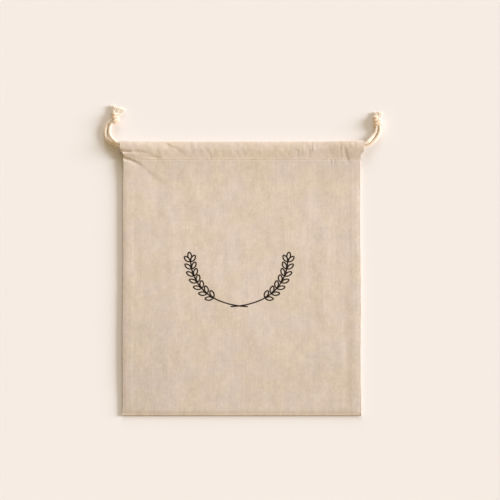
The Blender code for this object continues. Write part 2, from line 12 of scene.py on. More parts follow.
import bpy
import numpy as np
from bpy.props import FloatProperty, FloatVectorProperty, PointerProperty
from bpy.types import Operator, Panel, PropertyGroup
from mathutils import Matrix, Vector


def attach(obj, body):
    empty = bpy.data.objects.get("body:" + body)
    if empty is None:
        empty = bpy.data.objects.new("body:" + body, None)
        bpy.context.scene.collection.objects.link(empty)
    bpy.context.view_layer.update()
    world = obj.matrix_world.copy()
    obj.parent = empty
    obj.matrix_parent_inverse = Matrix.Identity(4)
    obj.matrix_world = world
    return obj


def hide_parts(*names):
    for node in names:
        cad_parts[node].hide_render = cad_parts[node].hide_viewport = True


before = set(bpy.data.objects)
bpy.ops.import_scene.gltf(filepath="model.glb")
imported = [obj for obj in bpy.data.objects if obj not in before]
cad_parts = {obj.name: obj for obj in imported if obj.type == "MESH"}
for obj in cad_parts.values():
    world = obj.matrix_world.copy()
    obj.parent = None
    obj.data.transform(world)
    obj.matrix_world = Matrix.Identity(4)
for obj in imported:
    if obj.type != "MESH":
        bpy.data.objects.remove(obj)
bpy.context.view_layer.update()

bl_info = {
    "name": "Linen bread bag",
    "version": (1, 0, 0),
    "blender": (4, 5, 0),
    "location": "3D View > Sidebar > Bread bag",
    "description": "Dresses the packed bread bag in woven linen, stitches, cords and knots",
    "category": "Object",
}

MM = 0.001
INCH = 0.0254
BODY = "root"

# Where each cord runs outside its channel, in millimetres, from the channel's end to the knot.
FRONT_CORD_LEFT = (
    (-162.5, 188.8, 7.3),
    (-167.2, 194.7, 4.4),
    (-169.8, 201.6, 2.8),
    (-170.1, 208.5, 2.4),
    (-168.2, 215.0, 3.6),
    (-162.2, 220.6, 5.4),
)
BACK_CORD_LEFT = (
    (-163.1, 186.6, 2.4),
    (-167.9, 189.0, 2.3),
    (-171.8, 192.6, 2.3),
    (-174.6, 197.6, 2.3),
    (-175.4, 203.4, 2.3),
    (-174.9, 209.0, 2.4),
    (-172.6, 215.0, 2.9),
    (-163.6, 222.4, 4.2),
)
FRONT_CORD_RIGHT = (
    (161.8, 188.5, 7.3),
    (165.2, 193.1, 5.0),
    (168.5, 198.3, 3.3),
    (171.4, 203.4, 2.7),
    (172.4, 208.7, 3.1),
    (173.4, 217.4, 4.8),
)
BACK_CORD_RIGHT = (
    (162.5, 186.1, 2.4),
    (166.9, 189.0, 2.3),
    (171.0, 193.1, 2.3),
    (174.5, 198.2, 2.3),
    (176.6, 203.8, 2.3),
    (177.2, 209.3, 2.7),
    (175.4, 217.9, 4.8),
)
# Places along the channels that each cord's route passes, in millimetres.
CHANNEL_STATIONS = (-156, -149, -140, -129, -116, -100, -80, -40, 0,
                    40, 80, 100, 116, 129, 140, 148, 155)

# Knots, in millimetres and degrees: middle, half sizes, how many turns the cords wind round the
# core and from which angle, and how deep the core lies in the knot.
KNOT_COLUMNS = ("side", "x", "y", "half_width", "half_length", "turns", "first_deg", "groove")
KNOTS = (
    ("left", -162.2, 222.6, 5.2, 7.4, -1.3, 200.0, 1.0),
    ("right", 174.4, 217.9, 6.0, 8.0, -1.4, 250.0, 0.6),
)
KNOT_HALF_HEIGHT = 3.8 * MM

# Soft folds and creases, each a line of points in millimetres: how far the fold reaches to the
# left and to the right of its line there, and its height (under 0 for a trough). Columns: x,
# y, reach to the left, reach to the right, height.
CREASES = (
    # The left cord pulls a crease and a pillow into the channel, and the same into the face.
    ((-160, 177.6, 1.3, 3.0, -1.2), (-154, 175.4, 1.4, 2.2, -1.6), (-148, 175.0, 1.4, 2.0, -1.4),
     (-142.5, 175.2, 1.2, 2.2, -0.5), (-140.5, 175.4, 1.2, 2.4, -0.25), (-137, 175.2, 1.3, 2.6, -0.7),
     (-128, 174.6, 1.4, 2.8, -0.5), (-119, 172.2, 1.6, 3.4, -0.3), (-109, 168.6, 1.6, 3.6, -0.1)),
    ((-132, 170.0, 1.0, 2.4, -0.05), (-118, 168.8, 1.1, 2.0, -0.35), (-110, 167.4, 1.2, 2.0, -0.35),
     (-103, 166.8, 1.4, 2.0, -0.1)),
    ((-153, 172.2, 1.8, 1.6, 0.7), (-146, 172.0, 1.8, 1.6, 0.5), (-136, 171.2, 2.2, 2.2, 0.1)),
    ((-157, 170.6, 1.3, 3.0, -1.1), (-150, 166.8, 1.4, 2.6, -1.4), (-145, 165.0, 1.5, 2.8, -1.1),
     (-139, 162.6, 1.6, 3.4, -0.9), (-133, 159.0, 1.9, 4.6, -0.5), (-125, 152.0, 2.8, 7.0, -0.25),
     (-116, 143.0, 3.4, 8.0, -0.4), (-107, 134.0, 4.0, 9.0, -0.4), (-99, 126.0, 5.0, 9.0, -0.05)),
    # A tuck slants across the channel at the left.
    ((-96.5, 187.5, 1.0, 6.0, -0.2), (-94.5, 184.0, 1.2, 6.0, -0.4), (-89, 181.0, 1.6, 6.0, -0.35),
     (-82, 177.5, 2.2, 7.0, -0.4), (-76, 173.0, 2.4, 7.0, -0.15)),
    ((-105, 188.0, 4.0, 3.0, 0.2), (-103.5, 168.0, 4.0, 3.0, 0.25)),
    # Short tucks by the stitching.
    ((-40, 165.8, 1.4, 0.9, -0.3), (-40, 171.5, 1.4, 0.9, -0.2)),
    ((71.5, 166.0, 1.6, 1.2, -0.1), (71.5, 176.0, 1.6, 1.2, -0.25)),
    ((86.5, 170.0, 1.4, 1.0, -0.1), (86.5, 177.0, 1.4, 1.0, -0.25)),
    ((114.8, 157.0, 0.8, 0.7, -0.2), (114.6, 165.0, 0.8, 0.7, -0.28)),
    ((119.0, 157.0, 0.8, 0.7, -0.2), (118.8, 165.0, 0.8, 0.7, -0.28)),
    ((137, 157.0, 4.0, 2.0, -0.1), (136, 164.0, 4.0, 2.0, -0.45), (133, 174.0, 3.0, 2.0, -0.35),
     (131, 183.0, 3.0, 2.0, -0.1)),
    # Long soft folds of the face.
    ((104, 92, 9, 9, 0.0), (104, 72, 9, 9, 0.42), (106, -60, 9, 9, 0.4), (106, -85, 9, 9, 0.0)),
    ((97, 158, 8, 9, 0.0), (98, 140, 8, 9, -0.32), (99, 104, 8, 9, -0.3), (101, 88, 9, 9, 0.0)),
    ((86, 150, 8, 8, 0.0), (85, 135, 8, 8, 0.14), (84, 95, 8, 8, 0.12), (84, 75, 8, 8, 0.0)),
    ((-127, 130, 8, 8, 0.0), (-127, 112, 8, 8, 0.18), (-125, 65, 8, 8, 0.14), (-125, 45, 8, 8, 0.0)),
    ((-112, 130, 7, 7, 0.0), (-111, 118, 7, 7, -0.3), (-109, 85, 7, 7, -0.25), (-108, 70, 7, 7, 0.0)),
    ((-76, 162, 7, 13, 0.0), (-72, 150, 7, 13, 0.38), (-60, 115, 7, 13, 0.34), (-50, 88, 7, 13, 0.0)),
    ((-90, 90, 7, 7, 0.0), (-90, 70, 7, 7, 0.12), (-88, -85, 7, 7, 0.12), (-88, -105, 7, 7, 0.0)),
    ((133, 20, 4, 4, 0.0), (133, -20, 4, 4, -0.12), (134, -175, 4, 4, -0.18), (134, -188, 4, 4, 0.0)),
    ((-60, 50, 26, 26, 0.0), (-30, 0, 26, 26, 0.3), (20, -90, 26, 26, 0.3), (50, -150, 26, 26, 0.0)),
    ((20, 140, 24, 24, 0.0), (35, 115, 24, 24, 0.2), (60, 40, 24, 24, 0.2), (70, 10, 24, 24, 0.0)),
)
# Puckers down the channel, in millimetres: place, the distances below the top where each starts
# and ends, its reach to each side, and its height. Their ends fade over one length, and each
# leans by up to one share of its depth.
PUCKER_FADE = 3 * MM
PUCKER_LEAN = 0.05
PUCKER_COLUMNS = ("x", "start", "end", "reach", "height")
PUCKERS = (
    (-136, 0, 8, 3.0, 0.2),
    (-118, 0, 14, 4.0, 0.2),
    (-61, 1, 12, 2.4, 0.12),
    (-44, 0, 12, 1.6, 0.08),
    (-14, 6, 22, 5.0, 0.12),
    (8, 2, 24, 4.0, -0.12),
    (28, 0, 10, 2.2, 0.15),
    (45, 4, 24, 3.0, 0.15),
    (61, 0, 22, 0.9, -0.15),
    (65, 0, 22, 1.0, 0.15),
    (80, 2, 20, 1.2, 0.15),
    (92.8, 0, 14, 1.1, 0.35),
    (100, 3, 22, 4.0, -0.15),
    (120, 0, 9, 0.9, 0.25),
    (126, 2, 23, 1.2, -0.2),
    (129.5, 0, 12, 1.0, 0.2),
    (140, 0, 10, 0.9, 0.2),
    (144.5, 0, 10, 0.9, -0.2),
    (148.5, 0, 12, 1.0, 0.2),
)


# ---- small helpers ------------------------------------------------------------------------
def rows_of(table, columns):
    """Give each row of a table as a dictionary."""
    return [dict(zip(columns, row)) for row in table]


def linear(code):
    """Turn an sRGB hex colour such as "#D9C5AE" into linear red, green and blue."""
    parts = [int(code[k:k + 2], 16) / 255 for k in (1, 3, 5)]
    return tuple(p / 12.92 if p <= 0.04045 else ((p + 0.055) / 1.055) ** 2.4 for p in parts)


def smooth_step(value):
    """0 below 0, 1 above 1, and 3v^2 - 2v^3 between."""
    value = np.clip(value, 0.0, 1.0)
    return value * value * (3.0 - 2.0 * value)


def soft_max(a, b, blend):
    """The larger of two heights, rounded where they cross: half of a + b + sqrt((a-b)^2 + blend^2)."""
    return 0.5 * (a + b + np.sqrt((a - b) ** 2 + blend ** 2))


def bell(distance, reach):
    """exp(-(distance / reach)^2): 1 at no distance, falling away past the reach."""
    return np.exp(-(distance / reach) ** 2)


def crease_relief(x, y):
    """Heights of the folds: of each line, its height times a bell of the distance to it.

    Reaches and height run evenly from point to point, and the line's nearest stretch counts. A
    place's side is told by the sign of the cross product of the line's way and the way to it.
    """
    total = np.zeros(np.broadcast(x, y).shape)
    for line in CREASES:
        nearest = np.full(total.shape, np.inf)
        relief = np.zeros(total.shape)
        for first, last in zip(line, line[1:]):
            first, last = np.array(first) * MM, np.array(last) * MM
            dx, dy = last[:2] - first[:2]
            from_x, from_y = x - first[0], y - first[1]
            along = np.clip((from_x * dx + from_y * dy) / (dx * dx + dy * dy), 0.0, 1.0)
            distance = np.hypot(from_x - along * dx, from_y - along * dy)
            left, right, height = (first[k] + (last[k] - first[k]) * along for k in (2, 3, 4))
            reach = np.where(dx * from_y - dy * from_x > 0.0, left, right)
            relief = np.where(distance < nearest, height * bell(distance, reach), relief)
            nearest = np.minimum(distance, nearest)
        total = total + relief
    return total


def pucker_relief(x, below):
    """Heights of the channel's puckers: a bell across each, leaning a little, with soft ends."""
    total = np.zeros(np.broadcast(x, below).shape)
    for pucker in rows_of(PUCKERS, PUCKER_COLUMNS):
        inside = smooth_step((below - pucker["start"] * MM) / PUCKER_FADE + 0.5)
        inside = inside * smooth_step((pucker["end"] * MM - below) / PUCKER_FADE + 0.5)
        off = x - pucker["x"] * MM - PUCKER_LEAN * below * math.sin(pucker["x"])
        total = total + pucker["height"] * MM * bell(off, pucker["reach"] * MM) * inside
    return total


def rumple(x, y, wave, seed, count=14):
    """Soft random relief, mostly within 1 either way: sines of about one wavelength at all angles."""
    chance = np.random.default_rng(seed)
    total = np.zeros(np.broadcast(x, y).shape)
    for _ in range(count):
        angle = chance.uniform(0.0, math.pi)
        length = wave * chance.uniform(0.7, 1.6)
        shift = chance.uniform(0.0, 2 * math.pi)
        along = x * math.cos(angle) + y * math.sin(angle)
        total = total + np.sin(2 * math.pi * along / length + shift)
    return total / math.sqrt(count)


def hang(offset, slope, crest):
    """How far cloth drops off its cord's crest: slope * (sqrt(offset^2 + crest^2) - crest)."""
    return slope * (np.sqrt(offset ** 2 + crest ** 2) - crest)


# ---- the bag's shape ----------------------------------------------------------------------
# Heights, in metres, of the middle of each cloth layer over the floor.
BACK_LAYER = 0.45 * MM
FACE_AT_EDGE = 3.9 * MM
FACE_IN_FIELD = 3.78 * MM
FACE_AT_FOLD = 1.9 * MM
SEAM_HEIGHT = 2.5 * MM
# The cords' bulk holds the stitched hems a little off the floor.
BACK_LIFT = 1.3 * MM
BACK_LIFT_BELOW = 30 * MM
BACK_LIFT_REACH = 11 * MM
HEM_LIFT = 0.9 * MM
HEM_LIFT_REACH = 6 * MM
# Room between the middles of two layers that lie on each other, at the stitching and on a slope.
LAYER_PITCH = 1.15 * MM
SLOPE_PITCH = 0.85 * MM
# Room from a cord's centre to the middle of the cloth round it, and under the back cord.
CORD_COVER = 2.43 * MM
CORD_FLOOR = 0.87 * MM
# How steeply the hems' cloth falls off the back cord, how gently it bends over it, and how softly
# it meets its rest.
HEM_SLOPE = 0.7
HEM_DOME = 2.2 * MM
HEM_BLEND = 0.3 * MM
# How gently the channel's cloth bends over the front cord, and its swell over the back cord.
CHANNEL_DOME = 6.0 * MM
CHANNEL_EASE = 0.1 * MM
CHANNEL_LOFT = 0.25 * MM
CHANNEL_LOFT_REACH = 7.0 * MM
CHANNEL_BLEND = 0.4 * MM
# Rumples of the channel, which are squeezed across the bag, and the power that keeps all relief
# whole in the channel's middle and flat at its edges.
CHANNEL_RUMPLE = 0.05 * MM
CHANNEL_RUMPLE_WAVE = 14 * MM
CHANNEL_RUMPLE_SQUEEZE = 1.8
CHANNEL_SEED = 5
RELIEF_POWER = 0.6
# From this share of the channel's depth down, the room between its layers grows.
SLOPE_SHARE = 0.75
STITCH_DENT = 0.04 * MM
STITCH_DENT_REACH = 0.7 * MM
# The face's height runs on from the channel's over this length, by a step that starts part of its
# way up and is made whole again by a share, and a low swell stands by the stitches.
RUN_LENGTH = 46 * MM
RUN_START = 0.12
RUN_SHARE = 0.96
STITCH_SWELL = 0.1 * MM
STITCH_SWELL_PLACE = 2.6 * MM
STITCH_SWELL_REACH = 1.9 * MM
# The face steps up to its seam strips, dips at the side seams and has long low rumples.
STRIP_EASE = 1.5 * MM
SEAM_DIP = 0.4 * MM
SEAM_DIP_REACH = 3.4 * MM
FACE_RUMPLE = 0.055 * MM
FACE_RUMPLE_WAVE = 22 * MM
FACE_RUMPLE_STRETCH = 0.5
FACE_SEED = 11
# It falls towards the bottom's fold, and rolls over it.
BOTTOM_FALL = 0.9 * MM
BOTTOM_FALL_LENGTH = 70 * MM
BOTTOM_ROLL = 6.5 * MM
# How far in from a side seam each wall rolls, how the roll comes in below the channel, and the
# slit between the two walls at the seam.
FACE_ROLL = 0.6 * MM
BACK_ROLL = 1.2 * MM
ROLL_START = 0.5 * MM
ROLL_LENGTH = 5.0 * MM
SEAM_SLIT = 0.05 * MM
# Creases fade out over these lengths towards the bottom's and the mouth's folds.
CREASE_FADE_BOTTOM = 8 * MM
CREASE_FADE_MOUTH = 3 * MM
# Where each fold's half turn begins, measured in from the fold's outer edge.
FRONT_FOLD = 3.1 * MM
BACK_FOLD = 1.6 * MM
BOTTOM_FOLD = 1.7 * MM
FOLD_LIMIT = 0.5 * MM
# How far below the top fold each cord runs. The back cord climbs towards its channel's ends.
FRONT_CORD_BELOW_TOP = 5.2 * MM
BACK_CORD_BELOW_TOP = 13.0 * MM
BACK_CORD_AT_ENDS = 8.4 * MM
CLIMB_START = 80 * MM
CLIMB_LENGTH = 72 * MM
# The channels' ends stand out past the side seams, less at the mouth's corners.
FLARE = 4.2 * MM
FLARE_AT_CORNER = 0.72
CORNER_START = -1.5 * MM
CORNER_LENGTH = 3.5 * MM
FRONT_FLARE_DEPTH = 12 * MM
BACK_FLARE_DEPTH = 6 * MM
FLARE_FADE = 8 * MM
# Sines by which the side seams waver, in millimetres: height, wavelength over 2 pi, and the shift
# of the right side's, which the left side's has the other way.
WAVER_COLUMNS = ("height", "wave", "shift")
SEAM_WAVERS = (
    (0.3, 31.0, 1.0),
    (0.12, 6.3, 2.0),
)


class BagShape:
    """Places and heights of the bag's layers, from its width, length and channel depth."""

    def __init__(self, sizes):
        self.half = sizes.width / 2
        self.length = sizes.length
        self.top = sizes.length / 2
        self.channel = sizes.channel
        self.allowance = sizes.seam_allowance
        self.cord_radius = sizes.cord / 2
        self.back_cord_z = CORD_FLOOR + self.cord_radius

    def half_width(self, below, side, flare_depth):
        """Half the width at a distance below the top: the flare fades out, and slow sines waver."""
        corner = smooth_step((below - CORNER_START) / CORNER_LENGTH)
        flare = FLARE * (FLARE_AT_CORNER + (1.0 - FLARE_AT_CORNER) * corner)
        end = 1.0 - smooth_step((below - flare_depth) / FLARE_FADE)
        waver = sum(row["height"] * MM * np.sin(below / (row["wave"] * MM) + row["shift"] * side)
                    for row in rows_of(SEAM_WAVERS, WAVER_COLUMNS))
        return self.half + flare * end + waver * (1.0 - end)

    def near_stitching(self, below):
        """0 on the channel's slopes and 1 at its stitched line, with a smooth step between."""
        return smooth_step((below / self.channel - SLOPE_SHARE) / (1.0 - SLOPE_SHARE))

    def back_cord_below_top(self, x):
        """How far below the top the back cord runs: it climbs by a smooth step towards the ends."""
        climb = smooth_step((np.abs(x) - CLIMB_START) / CLIMB_LENGTH)
        return BACK_CORD_BELOW_TOP + (BACK_CORD_AT_ENDS - BACK_CORD_BELOW_TOP) * climb

    def back_layer(self, below):
        """Middle of the back: flat on the floor, but for a low swell under the stitched hems."""
        return BACK_LAYER + BACK_LIFT * bell(below - BACK_LIFT_BELOW, BACK_LIFT_REACH)

    def back_hem(self, x, below):
        """Middle of the back hem: the higher of its rest height and its hang over the back cord."""
        rest = self.back_layer(below) + LAYER_PITCH + HEM_LIFT * bell(below, HEM_LIFT_REACH)
        crest = self.back_cord_z + CORD_COVER
        over_cord = crest - hang(below - self.back_cord_below_top(x), HEM_SLOPE, HEM_DOME)
        return soft_max(rest, over_cord, HEM_BLEND)

    def layer_pitch(self, below):
        """Room between layers: less on the channel's slopes than at the stitching."""
        return SLOPE_PITCH + (LAYER_PITCH - SLOPE_PITCH) * self.near_stitching(below)

    def front_hem(self, x, below):
        """Middle of the front hem, one layer above the back hem."""
        return self.back_hem(x, below) + self.layer_pitch(below)

    def front_cord_z(self, x):
        """The front cord's centre, on top of its hem."""
        return self.front_hem(x, FRONT_CORD_BELOW_TOP) + CORD_COVER

    def front_channel(self, x, below):
        """Middle of the front channel: it falls from the front cord's crest to the stitched line.

        It is the higher of its own hang and its hem, and puckers and rumples are multiplied by
        sin(pi * share of the depth)^power, so they end at the fold and at the stitches.
        """
        on_hem = self.front_hem(x, below) + self.layer_pitch(below)
        at_stitch = self.front_hem(x, self.channel) + self.layer_pitch(self.channel)
        crest = self.front_cord_z(x) + CORD_COVER + CHANNEL_EASE
        slope = (crest - at_stitch) / hang(self.channel - FRONT_CORD_BELOW_TOP, 1.0, CHANNEL_DOME)
        over_cord = crest - hang(below - FRONT_CORD_BELOW_TOP, slope, CHANNEL_DOME)
        loft = CHANNEL_LOFT * bell(below - BACK_CORD_BELOW_TOP, CHANNEL_LOFT_REACH)
        rumples = rumple(x * CHANNEL_RUMPLE_SQUEEZE, below, CHANNEL_RUMPLE_WAVE, CHANNEL_SEED)
        relief = pucker_relief(x, below) + CHANNEL_RUMPLE * rumples
        across = np.sin(math.pi * np.clip(below / self.channel, 0.0, 1.0)) ** RELIEF_POWER
        return soft_max(on_hem, over_cord + loft, CHANNEL_BLEND) + relief * across

    def stitch_valley(self, below):
        """The dent along the stitched line: a bell of the distance to it."""
        return STITCH_DENT * bell(below - self.channel, STITCH_DENT_REACH)

    def edge_roll(self, edge, reach):
        """A quarter ellipse from 0 at an edge of the bag up to 1 one reach in from it."""
        inward = np.clip(1.0 - edge / reach, 0.0, 1.0)
        return np.sqrt(1.0 - inward ** 2)

    def face(self, x, y):
        """Middle of the face: its field and seam strips, which fall to the seams and the bottom.

        Smooth steps and bells of the distances to the seams, the stitches and the bottom's fold
        are added, and quarter ellipses roll it over the bottom's fold and the side seams.
        """
        below = self.top - y
        under = below - self.channel
        edge = np.abs(self.half_width(below, np.sign(x), FRONT_FLARE_DEPTH) - np.abs(x))
        on_seam = smooth_step((self.allowance + STRIP_EASE - edge) / (2 * STRIP_EASE))
        height = FACE_IN_FIELD + (FACE_AT_EDGE - FACE_IN_FIELD) * on_seam
        height = height - SEAM_DIP * bell(edge, SEAM_DIP_REACH)
        rumples = rumple(x, y * FACE_RUMPLE_STRETCH, FACE_RUMPLE_WAVE, FACE_SEED)
        height = height + FACE_RUMPLE * rumples
        to_fold = y + self.top - BOTTOM_FOLD
        height = height - BOTTOM_FALL * smooth_step(1.0 - to_fold / BOTTOM_FALL_LENGTH)
        height = FACE_AT_FOLD + (height - FACE_AT_FOLD) * self.edge_roll(to_fold, BOTTOM_ROLL)
        run = (1.0 - smooth_step(under / RUN_LENGTH + RUN_START)) / RUN_SHARE
        height = height + (self.front_channel(x, self.channel) - height) * run
        height = height + STITCH_SWELL * bell(under - STITCH_SWELL_PLACE, STITCH_SWELL_REACH)
        rolled = SEAM_HEIGHT + (height - SEAM_HEIGHT) * self.edge_roll(edge, FACE_ROLL)
        return height + (rolled - height) * smooth_step((under - ROLL_START) / ROLL_LENGTH)

    def back_wall(self, x, below):
        """Middle of the back, flat on the surface, which curls up to the face at the side seams."""
        edge = np.abs(self.half_width(below, np.sign(x), FRONT_FLARE_DEPTH) - np.abs(x))
        curl = SEAM_HEIGHT - SEAM_SLIT - BACK_LAYER
        curled = curl * (1.0 - self.edge_roll(edge, BACK_ROLL))
        return self.back_layer(below) + curled * smooth_step((below - self.channel) / ROLL_LENGTH)

    def front(self, x, below):
        """Middle of the whole front: the channel down to its stitches, the face under them."""
        y = self.top - below
        whole = np.where(below < self.channel,
                         self.front_channel(x, np.minimum(below, self.channel)),
                         self.face(x, np.minimum(y, self.top - self.channel)))
        from_fold = smooth_step((y + self.top - BOTTOM_FOLD) / CREASE_FADE_BOTTOM)
        from_mouth = smooth_step((below - FRONT_FOLD) / CREASE_FADE_MOUTH)
        return whole + crease_relief(x, y) * from_fold * from_mouth - self.stitch_valley(below)

    def face_top(self, x, y, cloth):
        """The face's outer surface in its field, where nothing rolls away."""
        return self.front(x, self.top - y) + cloth / 2


# ---- meshes -------------------------------------------------------------------------------
def surface(name, places, uv=None):
    """A mesh of quads over a grid of places, row by row."""
    rows, columns = places.shape[:2]
    index = np.arange(rows * columns).reshape(rows, columns)
    corners = np.stack([index[:-1, :-1], index[:-1, 1:], index[1:, 1:], index[1:, :-1]], axis=-1)
    return mesh_from(name, places.reshape(-1, 3), corners.reshape(-1, 4), uv)


def mesh_from(name, points, quads, uv=None):
    """A mesh from whole arrays of points, quads and the UV of each point."""
    mesh = bpy.data.meshes.new(name)
    mesh.vertices.add(len(points))
    mesh.vertices.foreach_set("co", points.astype(np.float32).ravel())
    mesh.loops.add(quads.size)
    mesh.loops.foreach_set("vertex_index", quads.astype(np.int32).ravel())
    mesh.polygons.add(len(quads))
    mesh.polygons.foreach_set("loop_start", np.arange(0, quads.size, 4, dtype=np.int32))
    mesh.polygons.foreach_set("use_smooth", np.ones(len(quads), dtype=bool))
    mesh.update(calc_edges=True)
    mesh.validate()
    if uv is not None:
        uv_map = mesh.uv_layers.new(name="weave")
        uv_map.data.foreach_set("uv", uv[quads.ravel()].astype(np.float32).ravel())
    item = bpy.data.objects.new(name, mesh)
    bpy.context.scene.collection.objects.link(item)
    return item


def tubes(name, centres, radii, sides, up=(0.0, 0.0, 1.0), turn=None, profile=None, lay=1.0):
    """Closed tubes along many paths at once.

    centres is an array of paths by stations by 3, and radii of paths by stations. Each ring's
    points stand at centre + r * (cos(a) * across + sin(a) * over), where across is up crossed
    with the path's direction. profile(angle) scales the radius before the ring is turned, so a
    turning profile makes strands. turn is each ring's turn in radians. The UV map goes from 0 to
    1 round a tube, and by 1 in each lay along it. Both ends close on a point.
    """
    centres = np.asarray(centres, dtype=float)
    paths, stations = centres.shape[:2]
    slopes = np.gradient(centres, axis=1)
    slopes /= np.linalg.norm(slopes, axis=2, keepdims=True)
    across = np.cross(np.array(up), slopes)
    across /= np.linalg.norm(across, axis=2, keepdims=True)
    over = np.cross(slopes, across)
    angles = np.arange(sides) * 2 * math.pi / sides
    turned = angles[None, None, :] + (0.0 if turn is None else turn[:, :, None])
    shape = np.ones(sides) if profile is None else profile(angles)
    reach = (radii[:, :, None] * shape[None, None, :])[..., None]
    rings = centres[:, :, None, :] + reach * (np.cos(turned)[..., None] * across[:, :, None, :]
                                              + np.sin(turned)[..., None] * over[:, :, None, :])
    steps = np.linalg.norm(np.diff(centres, axis=1), axis=2)
    travelled = np.concatenate([np.zeros((paths, 1)), np.cumsum(steps, axis=1)], axis=1)
    index = np.arange(paths * stations * sides).reshape(paths, stations, sides)
    nxt = np.roll(index, -1, axis=2)
    walls = np.stack([index[:, :-1], nxt[:, :-1], nxt[:, 1:], index[:, 1:]], axis=-1).reshape(-1, 4)
    first = paths * stations * sides
    tips = np.concatenate([centres[:, 0], centres[:, -1]])
    # Each end is closed by quads from its tip to three points of the ring, so sides is even.
    caps = []
    for ring, tip, way in ((index[:, 0], first, -1), (index[:, -1], first + paths, 1)):
        corners = [np.roll(ring, -k, axis=1)[:, ::2] for k in range(3)][::way]
        tip = np.broadcast_to((tip + np.arange(paths))[:, None], corners[0].shape)
        caps.append(np.stack([tip, *corners], axis=-1).reshape(-1, 4))
    points = np.concatenate([rings.reshape(-1, 3), tips])
    around = np.broadcast_to(angles / (2 * math.pi), (paths, stations, sides))
    along = np.broadcast_to((travelled / lay)[:, :, None], (paths, stations, sides))
    uv = np.stack([around, along], axis=-1).reshape(-1, 2)
    uv = np.concatenate([uv, np.zeros((2 * paths, 2))])
    return mesh_from(name, points, np.concatenate([walls, *caps]), uv)


def smooth_curve(points, per_span=24):
    """A Catmull-Rom curve through the points, sampled finely.

    Each span is a cubic, whose slope at a point is half the way from its neighbour before to the
    one after.
    """
    points = np.array(points, dtype=float)
    padded = np.vstack([2 * points[0] - points[1], points, 2 * points[-1] - points[-2]])
    before, start, end, after = (padded[k:len(padded) - 3 + k, None, :] for k in range(4))
    t = (np.arange(per_span) / per_span)[None, :, None]
    spans = 0.5 * (2 * start + (end - before) * t
                   + (2 * before - 5 * start + 4 * end - after) * t ** 2
                   + (3 * start - before - 3 * end + after) * t ** 3)
    return np.concatenate([spans.reshape(-1, 3), points[-1:]])


def even_stations(curve, spacing):
    """Points at even distances along a curve, with the whole length divided into whole steps."""
    steps = np.linalg.norm(np.diff(curve, axis=0), axis=1)
    travelled = np.concatenate([[0.0], np.cumsum(steps)])
    wanted = np.linspace(0.0, travelled[-1], int(round(travelled[-1] / spacing)) + 1)
    return np.stack([np.interp(wanted, travelled, curve[:, k]) for k in range(3)], axis=1)


# ---- the cloth's painted light and shade, and its random clouds ---------------------------
# How light the cloth is drawn: its start and its random clouds, and the painted shade that makes it
# darker down the face and just under the channel.
TONE_START = 0.99
CLOUD_SHARE = 0.014
CLOUD_WAVE = 60 * MM
CLOUD_SEED = 21
FACE_SHADE = 0.055
FACE_SHADE_FROM = 50 * MM
FACE_SHADE_LENGTH = 240 * MM
UNDER_CHANNEL_SHADE = 0.015
UNDER_CHANNEL_PLACE = 6 * MM
UNDER_CHANNEL_REACH = 14 * MM
# Broad parts with painted shade, the lower left and both side strips: by what share, and where across and
# along the bag the change starts and how long it takes, in millimetres, with a minus sign for one that
# goes left or down.
PAINTED_SHADE_COLUMNS = ("share", "x", "x_length", "y", "y_length")
PAINTED_SHADES = (
    (0.035, -40, -90, 20, -100),
    (0.025, -90, -12, 120, -60),
    (0.025, 122, 12, 120, -60),
)
# Lines along which the cloth is painted lighter or darker (a minus sign), by what share, and how far from
# the line, in millimetres: painted shade at the side seams and the mouth's fold, painted light along the
# stitches and on the bottom's fold. The whole channel is painted a little lighter too.
PAINTED_LIGHT_LINE_COLUMNS = ("line", "share", "reach")
PAINTED_LIGHT_LINES = (
    ("side seams", -0.09, 1.2),
    ("stitches", 0.12, 1.4),
    ("bottom", 0.28, 2.4),
    ("mouth", -0.12, 1.6),
)
CHANNEL_LIGHT = 0.09
CHANNEL_LIGHT_EDGE = 2 * MM


def set_tone_and_painted_light(piece, shape):
    """Store how light the cloth is drawn at each point: painted light and shade over random clouds.

    Smooth steps and a bell take the broad painted shades from the start, and a soft random share is added
    as the cloth's own clouds. Each line multiplies the sum by 1 + share * bell(distance), and the channel
    by a smooth step, for painted light and shade along them.
    """
    mesh = piece.data
    places = np.empty(len(mesh.vertices) * 3)
    mesh.vertices.foreach_get("co", places)
    x, y, _ = places.reshape(-1, 3).T
    below = shape.top - y
    under = below - shape.channel
    edge = np.abs(shape.half_width(below, np.sign(x), FRONT_FLARE_DEPTH) - np.abs(x))
    tone = TONE_START + CLOUD_SHARE * rumple(x, y, CLOUD_WAVE, CLOUD_SEED)
    # Painted shade: darker down the face and just under the channel.
    tone = tone - FACE_SHADE * smooth_step((FACE_SHADE_FROM - y) / FACE_SHADE_LENGTH)
    tone = tone - UNDER_CHANNEL_SHADE * bell(under - UNDER_CHANNEL_PLACE, UNDER_CHANNEL_REACH)
    # Painted shade over the lower left and both side strips.
    for row in rows_of(PAINTED_SHADES, PAINTED_SHADE_COLUMNS):
        across = smooth_step((x - row["x"] * MM) / (row["x_length"] * MM))
        tone = tone - row["share"] * across * smooth_step((y - row["y"] * MM) / (row["y_length"] * MM))
    distances = {"side seams": edge, "stitches": under, "bottom": y + shape.top, "mouth": below}
    # Painted shade at the side seams and the mouth's fold, painted light along the stitches and the
    # bottom's fold.
    for row in rows_of(PAINTED_LIGHT_LINES, PAINTED_LIGHT_LINE_COLUMNS):
        tone = tone * (1.0 + row["share"] * bell(distances[row["line"]], row["reach"] * MM))
    # Painted light over the whole channel.
    tone = tone * (1.0 + CHANNEL_LIGHT * smooth_step(-under / CHANNEL_LIGHT_EDGE))
    stored = mesh.attributes.new("tone", "FLOAT", "POINT")
    stored.data.foreach_set("value", tone.astype(np.float32))


